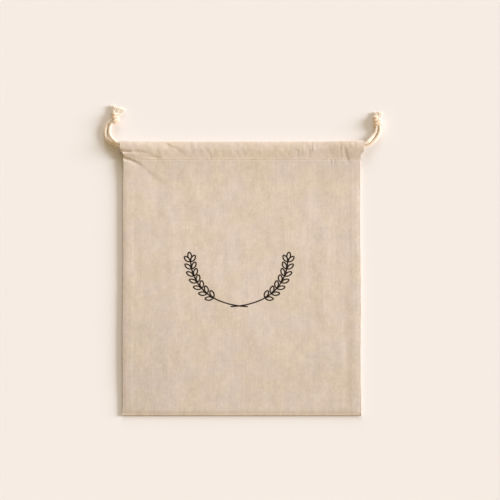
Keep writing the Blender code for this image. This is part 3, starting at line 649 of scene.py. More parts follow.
def finish_piece(piece, material, slot, *nodes):
    """Give a piece its material and its body, and hide the nodes that it stands for. The slot is not
    used.
    """
    piece.data.materials.append(material)
    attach(piece, BODY)
    if nodes:
        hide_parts(*nodes)


# ---- materials ----------------------------------------------------------------------------
def add(tree, kind, inputs=None, **settings):
    """Add a node: settings are its own fields, and inputs are values or (node, output) links."""
    item = tree.nodes.new(kind)
    for name, value in settings.items():
        setattr(item, name, value)
    for socket, value in (inputs or {}).items():
        if isinstance(value, tuple) and isinstance(value[0], bpy.types.Node):
            tree.links.new(value[0].outputs[value[1]], item.inputs[socket])
        else:
            item.inputs[socket].default_value = value
    return item


def new_material(name):
    """A new material, and its node tree with nothing in it."""
    material = bpy.data.materials.new(name)
    material.use_nodes = True
    material.node_tree.nodes.clear()
    return material, material.node_tree


def close_material(tree, shader):
    """Link a shader to the material's output."""
    add(tree, "ShaderNodeOutputMaterial", {"Surface": (shader, "BSDF")})


def colour4(rgb):
    """A colour with full cover."""
    return (*rgb, 1.0)


# Thick and thin places of the yarn: their size across and along the bag in millimetres, their
# detail, where the pattern starts, and their share in the cloth's shade.
SLUB_COLUMNS = ("across", "along", "detail", "start", "share")
SLUBS = (
    (2.2, 6.0, 1.5, 3.1, 1.0),
    (5.5, 2.1, 1.5, 5.3, 0.5),
    (3.4, 50.0, 1.0, 7.7, 0.5),
    (60.0, 2.8, 1.0, 4.1, 0.2),
    (9.0, 14.0, 1.5, 9.9, 0.9),
)
SLUB_CONTRAST = 0.095
# Size of the patches where the bleach took differently, and the weave's depth and its strength.
LINEN_PATCH = 38 * MM
WEAVE_BUMP = (0.1 * MM, 0.3)


def woven_linen(colours, sizes):
    """Natural linen, plain woven from uneven spun yarn: matt, with slubs along both thread ways."""
    material, tree = new_material("natural linen plain weave")
    place = add(tree, "ShaderNodeUVMap", uv_map="weave")
    uv = (place, "UV")
    # Broad patches, one tint running into the other.
    patches = add(tree, "ShaderNodeTexNoise", {"Vector": uv, "Scale": 1 / LINEN_PATCH, "Detail": 3.0,
                                               "Roughness": 0.6}, noise_dimensions="2D")
    tint = add(tree, "ShaderNodeMapRange",
               {"Value": (patches, "Fac"), "From Min": 0.36, "From Max": 0.64})
    ground = add(tree, "ShaderNodeMix", {"Factor": (tint, "Result"), "A": colour4(colours.linen_straw),
                                         "B": colour4(colours.linen_flax)}, data_type="RGBA")
    # Slubs: noise stretched along the warp, which runs down the bag, and along the weft.
    slubs = 0.0
    for row in rows_of(SLUBS, SLUB_COLUMNS):
        scale = (1 / (row["across"] * MM), 1 / (row["along"] * MM), 1.0)
        stretched = add(tree, "ShaderNodeMapping", {"Vector": uv, "Scale": scale,
                                                    "Location": (row["start"], 2 * row["start"], 0.0)})
        noise = add(tree, "ShaderNodeTexNoise", {"Vector": (stretched, "Vector"), "Scale": 1.0,
                                                 "Detail": row["detail"]}, noise_dimensions="2D")
        summed = add(tree, "ShaderNodeMath", {0: (noise, "Fac"), 1: row["share"], 2: slubs},
                     operation="MULTIPLY_ADD")
        slubs = (summed, "Value")
    even = 0.5 * sum(row["share"] for row in rows_of(SLUBS, SLUB_COLUMNS))
    shade = add(tree, "ShaderNodeMapRange",
                {"Value": slubs, "From Min": even - 0.5, "From Max": even + 0.5,
                 "To Min": 1 - SLUB_CONTRAST, "To Max": 1 + SLUB_CONTRAST})
    # The weave itself: threads over and under in turn, |sin(pi x / pitch) * sin(pi y / pitch)|, drawn a
    # little lighter on their crowns and darker between them as painted light and shade. The real threads,
    # a little over half a millimetre apart, are too fine to show, so the pitch is coarser than theirs.
    threads = add(tree, "ShaderNodeVectorMath", {0: uv, "Scale": math.pi / sizes.thread_pitch},
                  operation="SCALE")
    split = add(tree, "ShaderNodeSeparateXYZ", {0: (threads, "Vector")})
    warp = add(tree, "ShaderNodeMath", {0: (split, "X")}, operation="SINE")
    weft = add(tree, "ShaderNodeMath", {0: (split, "Y")}, operation="SINE")
    weave = add(tree, "ShaderNodeMath", {0: (warp, "Value"), 1: (weft, "Value")},
                operation="MULTIPLY")
    crown = add(tree, "ShaderNodeMath", {0: (weave, "Value")}, operation="ABSOLUTE")
    thread_shade = add(tree, "ShaderNodeMapRange",
                       {"Value": (crown, "Value"), "To Min": 0.975, "To Max": 1.04})
    # The stored painted light and shade, with the cloth's random clouds, scales the colour.
    tone = add(tree, "ShaderNodeAttribute", attribute_name="tone")
    with_painted_light = add(tree, "ShaderNodeMath", {0: (shade, "Result"), 1: (tone, "Fac")}, operation="MULTIPLY")
    both = add(tree, "ShaderNodeMath", {0: (with_painted_light, "Value"), 1: (thread_shade, "Result")},
               operation="MULTIPLY")
    colour = add(tree, "ShaderNodeVectorMath", {0: (ground, 2), "Scale": (both, "Value")},
                 operation="SCALE")
    height = add(tree, "ShaderNodeMath", {0: (crown, "Value"), 1: 0.5, 2: slubs},
                 operation="MULTIPLY_ADD")
    bump = add(tree, "ShaderNodeBump", {"Height": (height, "Value"), "Distance": WEAVE_BUMP[0],
                                        "Strength": WEAVE_BUMP[1]})
    shader = add(tree, "ShaderNodeBsdfPrincipled",
                 {"Base Color": (colour, "Vector"), "Roughness": 0.92, "Normal": (bump, "Normal")})
    shader.inputs["Specular IOR Level"].default_value = 0.25
    shader.inputs["Sheen Weight"].default_value = 0.12
    shader.inputs["Sheen Roughness"].default_value = 0.6
    close_material(tree, shader)
    return material


# Yarns round a cord. Real ones are finer and wouldn't show, so each stands for several.
YARNS = 24
# Size of cotton's fuzz, and the depth of yarns and fuzz and their strength.
COTTON_FUZZ = 1.2 * MM
COTTON_BUMP = (0.15 * MM, 0.5)
# How far light travels in cotton, and how much of it as red, green and blue.
COTTON_SOAK_LENGTH = 6.0 * MM
COTTON_SOAK = (1.0, 0.95, 0.9)


def twisted_cotton(colours, name="cotton cord three strand twist", tint="cord", soak=0.5):
    """Natural cotton, spun and laid in strands: matt and soft, with fine yarns along each strand."""
    material, tree = new_material(name)
    place = add(tree, "ShaderNodeUVMap", uv_map="weave")
    split = add(tree, "ShaderNodeSeparateXYZ", {0: (place, "UV")})
    # Yarns lie at a slant on each strand.
    slant = add(tree, "ShaderNodeMath", {0: (split, "X"), 1: YARNS, 2: (split, "Y")},
                operation="MULTIPLY_ADD")
    angle = add(tree, "ShaderNodeMath", {0: (slant, "Value"), 1: 2 * math.pi}, operation="MULTIPLY")
    yarn = add(tree, "ShaderNodeMath", {0: (angle, "Value")}, operation="SINE")
    coords = add(tree, "ShaderNodeTexCoord")
    fuzz = add(tree, "ShaderNodeTexNoise", {"Vector": (coords, "Object"), "Scale": 1 / COTTON_FUZZ,
                                            "Detail": 3.0, "Roughness": 0.6})
    height = add(tree, "ShaderNodeMath", {0: (yarn, "Value"), 1: 0.25, 2: (fuzz, "Fac")},
                 operation="MULTIPLY_ADD")
    # Painted light and shade: each yarn's ridge is drawn lighter and the groove between yarns darker, and
    # the fuzz adds random lightness.
    shade = add(tree, "ShaderNodeMapRange", {"Value": (height, "Value"), "From Min": 0.2,
                                             "From Max": 0.85, "To Min": 0.9, "To Max": 1.05})
    colour = add(tree, "ShaderNodeVectorMath", {0: getattr(colours, tint), "Scale": (shade, "Result")},
                 operation="SCALE")
    bump = add(tree, "ShaderNodeBump", {"Height": (height, "Value"), "Distance": COTTON_BUMP[0],
                                        "Strength": COTTON_BUMP[1]})
    shader = add(tree, "ShaderNodeBsdfPrincipled",
                 {"Base Color": (colour, "Vector"), "Roughness": 0.9, "Normal": (bump, "Normal")})
    # Light soaks into cotton and comes back from all its fibres, which evens its light and shade.
    shader.inputs["Diffuse Roughness"].default_value = 0.8
    shader.inputs["Subsurface Weight"].default_value = soak
    shader.inputs["Subsurface Radius"].default_value = COTTON_SOAK
    shader.inputs["Subsurface Scale"].default_value = COTTON_SOAK_LENGTH
    shader.inputs["Specular IOR Level"].default_value = 0.2
    close_material(tree, shader)
    return material


# Size of the specks where ink is thin, about the weave's own.
INK_GRAIN = 0.9 * MM


def printed_ink(colours):
    """Water-based textile ink, screen printed: matt brown-black, thin where the weave is deep."""
    material, tree = new_material("screen printed textile ink")
    coords = add(tree, "ShaderNodeTexCoord")
    grain = add(tree, "ShaderNodeTexNoise", {"Vector": (coords, "Object"), "Scale": 1 / INK_GRAIN,
                                             "Detail": 2.0})
    mixed = add(tree, "ShaderNodeMapRange", {"Value": (grain, "Fac"), "From Min": 0.4,
                                             "From Max": 0.75, "To Min": 0.0, "To Max": 0.12})
    colour = add(tree, "ShaderNodeMix", {"Factor": (mixed, "Result"), "A": colour4(colours.ink),
                                         "B": colour4(colours.linen_flax)}, data_type="RGBA")
    shader = add(tree, "ShaderNodeBsdfPrincipled", {"Base Color": (colour, 2), "Roughness": 0.95})
    shader.inputs["Specular IOR Level"].default_value = 0.05
    close_material(tree, shader)
    return material


# Size of the board's faint clouds.
BOARD_CLOUD = 400 * MM


def painted_board(colours):
    """Pale painted board under the bag: matt and all but even."""
    material, tree = new_material("matt painted board")
    coords = add(tree, "ShaderNodeTexCoord")
    cloud = add(tree, "ShaderNodeTexNoise", {"Vector": (coords, "Object"), "Scale": 1 / BOARD_CLOUD})
    shade = add(tree, "ShaderNodeMapRange", {"Value": (cloud, "Fac"), "To Min": 0.985, "To Max": 1.015})
    colour = add(tree, "ShaderNodeVectorMath", {0: colours.floor, "Scale": (shade, "Result")},
                 operation="SCALE")
    shader = add(tree, "ShaderNodeBsdfPrincipled", {"Base Color": (colour, "Vector"), "Roughness": 0.9})
    shader.inputs["Specular IOR Level"].default_value = 0.1
    close_material(tree, shader)
    return material


# ---- properties ---------------------------------------------------------------------------
def length_property(name, default, description):
    """A length in metres that a user can change."""
    return FloatProperty(name=name, default=default, min=0.0, precision=5, unit="LENGTH",
                         description=description)


def colour_property(name, code, description):
    """A colour that a user can change, given as sRGB hex."""
    return FloatVectorProperty(name=name, default=linear(code), subtype="COLOR", size=3,
                               min=0.0, max=1.0, description=description)


class BreadBagSizes(PropertyGroup):
    """Sizes of the bag's pieces."""

    width: length_property("Width", 12 * INCH, "Across the bag, seam to seam")
    length: length_property("Length", 15 * INCH, "From the mouth's fold to the bottom's fold")
    channel: length_property("Channel depth", 1 * INCH, "From the mouth's fold to the stitched line")
    seam_allowance: length_property("Seam allowance", 0.5 * INCH, "Cloth inside each side seam")
    cloth: length_property("Cloth thickness", 0.8 * MM, "Thickness of the linen")
    thread_pitch: length_property("Thread pitch", 0.9 * MM, "Spacing of the linen's threads")
    cord: length_property("Cord diameter", 4.0 * MM, "Across a drawstring")
    cord_lay: length_property("Cord lay", 14.0 * MM, "Length of one turn of a drawstring's strands")
    stitch: length_property("Stitch length", 3.2 * MM, "From one stitch to the next")


class BreadBagColours(PropertyGroup):
    """Colours of the bag's finishes."""

    linen_straw: colour_property("Linen, straw", "#D4C0A8", "Linen in its straw coloured patches")
    linen_flax: colour_property("Linen, flax", "#D5C1AF", "Linen in its greyer flax coloured patches")
    cord: colour_property("Cord", "#F0DBC2", "Natural cotton of the drawstrings")
    # Painted light: the knots' cotton is drawn paler than the cords' to lift its shaded sides.
    knot: colour_property("Knot", "#FFE8CD", "Natural cotton of the knots")
    tail: colour_property("Frayed tail", "#FFF2DF", "Loose cotton of the frayed tails")
    thread: colour_property("Sewing thread", "#F0E2CE", "Thread of the stitched lines")
    ink: colour_property("Print", "#120904", "Ink of the printed sprigs")
    floor: colour_property("Surface", "#EDE4DB", "The surface that the bag lies on")


def settings():
    """The scene's sizes, colours and the shape that the sizes make."""
    scene = bpy.context.scene
    return scene.bread_bag_sizes, scene.bread_bag_colours, BagShape(scene.bread_bag_sizes)


def shared_material(maker, name, *inputs):
    """The material of a name, made once."""
    return bpy.data.materials.get(name) or maker(*inputs)


# ---- the stage ----------------------------------------------------------------------------
# The camera looks down from the front at this angle from plumb, from so far off, through so long
# a lens, that the bag's sides look parallel. The view is in metres and the sensor in millimetres.
CAMERA_TILT = math.radians(23.55)
VIEW_WIDTH = 0.6402
VIEW_CENTRE = (0.0106, 0.03702)
CAMERA_DISTANCE = 22.0
SENSOR_WIDTH = 36.0
# Side of the surface, in metres, and its mesh's lines each way.
FLOOR_SIZE = 22.0
FLOOR_LINES = 9
# Broad far lights: where each stands (degrees from +X, and up from the surface), how wide it
# looks in degrees, its strength and its colour.
LIGHT_COLUMNS = ("name", "around_deg", "up_deg", "wide_deg", "strength", "colour")
LIGHTS = (
    ("side softbox", 9.0, 18.0, 27.0, 6.1, "#E4EDFF"),
    ("back softbox", 92.0, 17.0, 26.0, 2.3, "#E4EDFF"),
)
# The sky's colour and strength.
SKY = ("#FFEDC8", 0.457)


class BREAD_BAG_OT_stage(Operator):
    """Lay the pale surface, hang the soft lights and set the camera"""

    bl_idname = "bread_bag.stage"
    bl_label = "Stage"

    def execute(self, context):
        _, colours, _ = settings()
        side = np.linspace(-FLOOR_SIZE / 2, FLOOR_SIZE / 2, FLOOR_LINES)
        x, y = np.meshgrid(side, side)
        floor = surface("floor", np.stack([x, y, 0 * x], axis=-1))
        floor.data.materials.append(shared_material(painted_board, "matt painted board", colours))
        for row in rows_of(LIGHTS, LIGHT_COLUMNS):
            self.hang_light(row)
        self.set_sky(context.scene)
        self.set_camera(context.scene)
        return {"FINISHED"}

    def hang_light(self, row):
        """A light so far off that it falls evenly, as wide as a softbox so that shadows are soft."""
        lamp = bpy.data.lights.new(row["name"], "SUN")
        lamp.angle = math.radians(row["wide_deg"])
        lamp.energy = row["strength"]
        lamp.color = linear(row["colour"])
        around, up = math.radians(row["around_deg"]), math.radians(row["up_deg"])
        item = bpy.data.objects.new(row["name"], lamp)
        item.location = (math.cos(up) * math.cos(around), math.cos(up) * math.sin(around),
                         math.sin(up))
        item.rotation_euler = (-item.location).to_track_quat("-Z", "Y").to_euler()
        bpy.context.scene.collection.objects.link(item)

    def set_sky(self, scene):
        """An even pale sky, and colours shown as they are."""
        scene.view_settings.view_transform = "Standard"
        world = bpy.data.worlds.new("pale sky")
        world.use_nodes = True
        back = world.node_tree.nodes["Background"]
        back.inputs["Color"].default_value = colour4(linear(SKY[0]))
        back.inputs["Strength"].default_value = SKY[1]
        scene.world = world

    def set_camera(self, scene):
        """A camera whose picture is nearly flat: up in it is y * cos(tilt) + z * sin(tilt)."""
        lens = bpy.data.cameras.new("camera")
        lens.sensor_width = SENSOR_WIDTH
        lens.lens = SENSOR_WIDTH * CAMERA_DISTANCE / VIEW_WIDTH
        camera = bpy.data.objects.new("camera", lens)
        aim = Vector((VIEW_CENTRE[0], VIEW_CENTRE[1] / math.cos(CAMERA_TILT), 0.0))
        away = Vector((0.0, -math.sin(CAMERA_TILT), math.cos(CAMERA_TILT)))
        camera.location = aim + away * CAMERA_DISTANCE
        camera.rotation_euler = (CAMERA_TILT, 0.0, 0.0)
        scene.collection.objects.link(camera)
        scene.camera = camera


# ---- the cords and knots ------------------------------------------------------------------
STRANDS = 3
# Points round a cord, and how far apart its rings are.
CORD_SIDES = 24
CORD_RING = 0.75 * MM
# Past this distance from the bag's middle the cords are free, and swell over this length by this
# share of their radius.
SWELL_START = 158 * MM
SWELL_LENGTH = 8 * MM
CORD_SWELL = 0.2
# How much of the strands' grooves is left, and how deep they could go, as shares of the radius.
GROOVE_DEPTH = 0.45
GROOVE_FLOOR = 0.8
# The knots' cords: points on each, how far in they tuck at both ends and over what share of their
# length, how far they lie apart, and the knots' lift off the surface.
KNOT_STATIONS = 200
TUCK = 0.45
TUCK_SHARE = 0.1
TURN_SHIFT = 0.98
KNOT_LIFT = 0.1 * MM
# The knots' cores: how much shorter than the knot in millimetres, how far the rings stay from the
# poles in radians, and the count of rings and sides.
CORE_SHORTER = 0.4
CORE_POLE_GAP = 0.05
CORE_RINGS = 18
CORE_SIDES = 24


def strand_profile(angle):
    """Three touching round strands seen end on, as a share of the cord's radius.

    A strand of radius s sits at distance d = s * 2 / sqrt(3), so s + d is the cord's radius. Its
    outline is d * cos(a) + sqrt(s^2 - d^2 * sin(a)^2), with a measured from the strand's middle.
    Soft strands fill their grooves, so only a share of each groove's depth is left.
    """
    strand = 1.0 / (1.0 + 2.0 / math.sqrt(3.0))
    middle = 1.0 - strand
    sector = 2 * math.pi / STRANDS
    off = (angle + sector / 2) % sector - sector / 2
    round_part = np.sqrt(np.maximum(strand ** 2 - (middle * np.sin(off)) ** 2, 0.0))
    outline = np.maximum(middle * np.cos(off) + round_part, GROOVE_FLOOR)
    return 1.0 - GROOVE_DEPTH * (1.0 - outline)


def cord_route(left_free, right_free, below_at, height_at, shape):
    """A cord's whole route: left knot, channel, right knot."""
    left = [np.array(point) * MM for point in reversed(left_free)]
    right = [np.array(point) * MM for point in right_free]
    x = np.array(CHANNEL_STATIONS) * MM
    middle = np.stack([x, shape.top - below_at(x), height_at(x) + 0 * x], axis=1)
    return smooth_curve(np.vstack([left, middle, right]))


def twisted_cord(name, curve, sizes, up=(0.0, 0.0, 1.0)):
    """A cord of three strands along a curve: its profile turns once in each lay.

    Outside its channel nothing presses it: it swells by a smooth step to its loose radius, and its
    middle rises by as much, so that it still lies on what carries it.
    """
    stations = even_stations(curve, CORD_RING)
    loose = smooth_step((np.abs(stations[:, 0]) - SWELL_START) / SWELL_LENGTH)
    swell = sizes.cord / 2 * CORD_SWELL * loose
    radii = (sizes.cord / 2 + swell)[None]
    stations = stations + np.outer(swell, (0.0, 0.0, 1.0))
    turn = 2 * math.pi * np.arange(len(stations))[None, :] * CORD_RING / sizes.cord_lay
    return tubes(name, stations[None], radii, CORD_SIDES, up=up, turn=turn, profile=strand_profile,
                 lay=sizes.cord_lay)


class BREAD_BAG_OT_cords(Operator):
    """Lay both drawstrings through their channels"""

    bl_idname = "bread_bag.cords"
    bl_label = "Drawstrings"

    def execute(self, context):
        sizes, colours, shape = settings()
        cotton = shared_material(twisted_cotton, "cotton cord three strand twist", colours)
        front = cord_route(FRONT_CORD_LEFT, FRONT_CORD_RIGHT,
                           lambda x: FRONT_CORD_BELOW_TOP + 0 * x, shape.front_cord_z, shape)
        back = cord_route(BACK_CORD_LEFT, BACK_CORD_RIGHT,
                          shape.back_cord_below_top, lambda x: shape.back_cord_z, shape)
        for name, route in (("front_drawstring", front), ("back_drawstring", back)):
            cord = twisted_cord(name, route, sizes)
            finish_piece(cord, cotton, "cotton_cord", name.replace("drawstring", "cord"))
        return {"FINISHED"}


class BREAD_BAG_OT_knots(Operator):
    """Tie the cords together at both sides"""

    bl_idname = "bread_bag.knots"
    bl_label = "Knots"

    def execute(self, context):
        sizes, colours, _ = settings()
        # Cotton pulled tight is dense, so no light soaks into it, and its colour is drawn paler than the
        # cords' as painted light that lifts its shaded sides.
        cotton = shared_material(twisted_cotton, "knotted cotton cord", colours,
                                 "knotted cotton cord", "knot", 0.0)
        for knot in rows_of(KNOTS, KNOT_COLUMNS):
            pieces = self.turns(knot, sizes) + [self.core(knot)]
            joined = join(f"{knot['side']}_knot_turns", pieces)
            finish_piece(joined, cotton, "cotton_cord", f"{knot['side']}_knot")
        return {"FINISHED"}

    def turns(self, knot, sizes):
        """Two cords on a helix about +Y, side by side, whose radius shrinks at both ends."""
        radius = sizes.cord / 2
        round_x = knot["half_width"] * MM - radius
        round_z = KNOT_HALF_HEIGHT - radius
        reach = knot["half_length"] * MM - 2 * radius
        share = np.linspace(0.0, 1.0, KNOT_STATIONS)
        tuck = TUCK + (1.0 - TUCK) * np.sin(math.pi / 2 * np.clip(share / TUCK_SHARE, 0.0, 1.0))
        tuck = np.minimum(tuck, tuck[::-1])
        pieces = []
        for number, shift in enumerate((-1.0, 1.0)):
            angle = math.radians(knot["first_deg"]) + 2 * math.pi * knot["turns"] * share
            along = reach * (2 * share - 1) + shift * TURN_SHIFT * radius
            curve = np.stack([round_x * tuck * np.cos(angle), along,
                              round_z * tuck * np.sin(angle)], axis=1)
            curve = curve + knot_centre(knot)
            pieces.append(twisted_cord(f"turn {number}", curve, sizes, up=(0.0, 1.0, 0.0)))
        return pieces

    def core(self, knot):
        """The cords inside the knot: an ellipsoid, with points at cos(b)cos(a), sin(b), cos(b)sin(a)."""
        half = np.array((knot["half_width"] - knot["groove"], knot["half_length"] - CORE_SHORTER,
                         KNOT_HALF_HEIGHT / MM - knot["groove"])) * MM
        last = math.pi / 2 - CORE_POLE_GAP
        rings = np.linspace(-last, last, CORE_RINGS)
        y = np.sin(rings) * half[1]
        centres = np.stack([0 * y, y, 0 * y], axis=1) + knot_centre(knot)
        squash = half[2] / half[0]
        return tubes("core", centres[None], (np.cos(rings) * half[0])[None], CORE_SIDES,
                     profile=lambda a: np.hypot(np.cos(a), np.sin(a) * squash))


def knot_centre(knot):
    """The middle of a knot, which lies on the surface."""
    return np.array((knot["x"] * MM, knot["y"] * MM, KNOT_HALF_HEIGHT + KNOT_LIFT))


def join(name, pieces):
    """One object from several meshes, with their points and UVs kept."""
    points, quads, uvs, first = [], [], [], 0
    for piece in pieces:
        mesh = piece.data
        co = np.empty(len(mesh.vertices) * 3, dtype=np.float32)
        mesh.vertices.foreach_get("co", co)
        index = np.empty(len(mesh.loops), dtype=np.int32)
        mesh.loops.foreach_get("vertex_index", index)
        loop_uv = np.empty(len(mesh.loops) * 2, dtype=np.float32)
        mesh.uv_layers[0].data.foreach_get("uv", loop_uv)
        uv = np.zeros((len(mesh.vertices), 2))
        uv[index] = loop_uv.reshape(-1, 2)
        points.append(co.reshape(-1, 3))
        quads.append(index.reshape(-1, 4) + first)
        uvs.append(uv)
        first += len(mesh.vertices)
        bpy.data.objects.remove(piece, do_unlink=True)
    return mesh_from(name, np.concatenate(points), np.concatenate(quads), np.concatenate(uvs))


# Frayed tails, in millimetres and degrees: the fan's angles from +Y, lengths and fibres.
TAIL_COLUMNS = ("side", "first_deg", "last_deg", "length_first", "length_last", "fibres")
TAILS = (
    ("left", 6.0, -46.0, 15.5, 12.5, 150),
    ("right", 8.0, -12.0, 9.0, 9.0, 140),
)
FIBRE_STATIONS = 7
FIBRE_SIDES = 4
# Loose fibres are finer than a hair, and would show only as a haze, so each of these stands for a
# wisp of them. It thins towards its tip by a share of its radius.
FIBRE_RADIUS = 0.26 * MM
FIBRE_TAPER = 0.55
TAIL_SEED = 40
# The fan's fibres are bunched towards its first side by this power, and scattered in radians, and
# the shortest is this share of the longest.
FAN_BUNCHING = 3
FAN_SCATTER = 0.06
FIBRE_SHORTEST = 0.72
# In the knot, in millimetres: how far the fibres start from its sides and its end, and how long
# they are there.
ROOT_FROM_SIDE = 2.2
ROOT_FROM_END = 4.0
ROOT_LENGTH = 3.0 * MM
# Heights of the fibres' roots and tips in millimetres, and how soon they have come down.
ROOT_HEIGHTS = (1.6, 6.6)
REST_HEIGHTS = (0.35, 3.2)
FALL_RATE = 1.2
# How far fibres wander sideways, and how many half waves they make.
SWAY = 0.9 * MM
SWAY_WAVES = (0.8, 1.6)


class BREAD_BAG_OT_tails(Operator):
    """Fray the cords' ends past the knots"""

    bl_idname = "bread_bag.tails"
    bl_label = "Frayed tails"

    def execute(self, context):
        _, colours, _ = settings()
        # Loose yarn looks palest, with light between its fibres.
        cotton = shared_material(twisted_cotton, "frayed cotton yarn", colours,
                                 "frayed cotton yarn", "tail", 0.0)
        knots = rows_of(KNOTS, KNOT_COLUMNS)
        for number, (tail, knot) in enumerate(zip(rows_of(TAILS, TAIL_COLUMNS), knots)):
            piece = self.fibres(tail, knot, TAIL_SEED + number)
            finish_piece(piece, cotton, "cotton_cord")
        return {"FINISHED"}

    def fibres(self, tail, knot, seed):
        """Fibres in a fan, most of them near its first side.

        Each leaves the knot's end in a straight line, falls to the surface by a smooth step and
        wanders sideways as a sine.
        """
        chance = np.random.default_rng(seed)
        count = tail["fibres"]
        share = (np.arange(count) + chance.uniform(0.0, 1.0, count)) / count
        wide = tail["last_deg"] - tail["first_deg"]
        fan = np.radians(tail["first_deg"] + wide * share ** FAN_BUNCHING)
        fan = fan + chance.normal(0.0, FAN_SCATTER, count)
        length = tail["length_first"] + (tail["length_last"] - tail["length_first"]) * share
        length = length * chance.uniform(FIBRE_SHORTEST, 1.0, count) * MM + ROOT_LENGTH
        t = np.linspace(0.0, 1.0, FIBRE_STATIONS)[None, :]
        spread = (knot["half_width"] - ROOT_FROM_SIDE) * MM
        root_x = knot["x"] * MM + spread * (2 * share - 1)
        root_y = (knot["y"] + knot["half_length"] - ROOT_FROM_END) * MM
        root_z = chance.uniform(*ROOT_HEIGHTS, count) * MM
        rest_z = chance.uniform(*REST_HEIGHTS, count) * MM
        sway = chance.normal(0.0, SWAY, count)[:, None]
        wander = sway * np.sin(math.pi * t * chance.uniform(*SWAY_WAVES, count)[:, None])
        along = length[:, None] * t
        x = root_x[:, None] - np.sin(fan)[:, None] * along + np.cos(fan)[:, None] * wander
        y = root_y + np.cos(fan)[:, None] * along + np.sin(fan)[:, None] * wander
        z = root_z[:, None] + (rest_z - root_z)[:, None] * smooth_step(t * FALL_RATE)
        radii = FIBRE_RADIUS * (1.0 - FIBRE_TAPER * t ** 2) * np.ones((count, 1))
        return tubes(f"{tail['side']}_tail", np.stack([x, y, z], axis=-1), radii, FIBRE_SIDES)


# ---- the cloth ----------------------------------------------------------------------------
# Spacing of the cloth's points, in millimetres: how far in from the edge each stretch ends, and
# the spacing in it. The last stretch of each table ends at the bag's middle or at the bottom.
EDGE_COLUMNS = ((0.3, 0.15), (0.9, 0.3), (3.0, 0.7))
CHANNEL_COLUMNS = EDGE_COLUMNS + ((153.0, 0.95),)
FACE_COLUMNS = EDGE_COLUMNS + ((38.0, 0.95), (153.0, 2.0))
BACK_COLUMNS = EDGE_COLUMNS + ((153.0, 4.0),)
CHANNEL_ROW = 0.8 * MM
FACE_ROWS = ((5.0, 0.5), (42.0, 0.95), (400.0, 1.9))
# How many rows the hems and the back have, and how many the half turns of their folds.
FRONT_HEM_ROWS = 16
BACK_HEM_ROWS = 30
BACK_FACE_ROWS = 80
BACK_CHANNEL_ROWS = 12
FOLD_ROWS = 9
BACK_FOLD_ROWS = 7
# How far the hems go past the stitched line, and how far up the back the face has its last rows.
HEM_OVERLAP = 1.0 * MM
TURNED_BACK = (4 * MM, 7 * MM)


def spaced(table, whole):
    """Places from 0 to a whole length: each stretch is cut evenly at about its own spacing."""
    places = [np.zeros(1)]
    for stop, spacing in table:
        start, end = places[-1][-1], min(stop * MM, whole)
        steps = max(1, int(round((end - start) / (spacing * MM))))
        places.append(np.linspace(start, end, steps + 1)[1:])
        if end >= whole:
            break
    return np.concatenate(places)


def column_shares(half, table):
    """Places of the columns as shares of the half width, closer together at both sides."""
    left = spaced(table, half) / half - 1.0
    return np.concatenate([left, -left[:-1][::-1]])


def layer(shape, shares, below, height, flare_depth):
    """Places of one layer: x is share * half width, y is top - below, z is height(x, below)."""
    below = np.asarray(below)[:, None]
    x = shares[None, :] * shape.half_width(below, np.sign(shares)[None, :], flare_depth)
    z = height(x, below) + 0 * x
    return np.stack([x, shape.top - below + 0 * x, z], axis=-1)


def half_turn(shape, shares, first, last, depth, steps, flare_depth, mouth=True):
    """A fold's half turn between two layers' rows of heights, as half an ellipse.

    With a from 0 to pi, it lies (depth - limit) * (1 - sin(a)) in from its limit, and its height
    is the rows' mean less half their difference * cos(a).
    """
    angle = (math.pi * np.arange(1, steps + 1) / (steps + 1))[:, None]
    inward = FOLD_LIMIT + (depth - FOLD_LIMIT) * (1.0 - np.sin(angle))
    below = inward if mouth else shape.length - inward
    x = shares[None, :] * shape.half_width(below, np.sign(shares)[None, :], flare_depth)
    z = (first + last)[None, :] / 2 - (last - first)[None, :] / 2 * np.cos(angle)
    return np.stack([x, shape.top - below + 0 * x, z], axis=-1)


def cloth_uv(places, start):
    """UV in metres: across the bag, and along the cloth from a starting length."""
    steps = np.linalg.norm(np.diff(places, axis=0), axis=2).mean(axis=1)
    along = start + np.concatenate([[0.0], np.cumsum(steps)])
    v = np.broadcast_to(along[:, None], places.shape[:2])
    return np.stack([places[:, :, 0], v], axis=-1).reshape(-1, 2), along[-1]


def thicken(piece, thickness):
    """Give the open sheet the cloth's thickness, half on each side."""
    wall = piece.modifiers.new("cloth thickness", "SOLIDIFY")
    wall.thickness = thickness
    wall.offset = 0.0


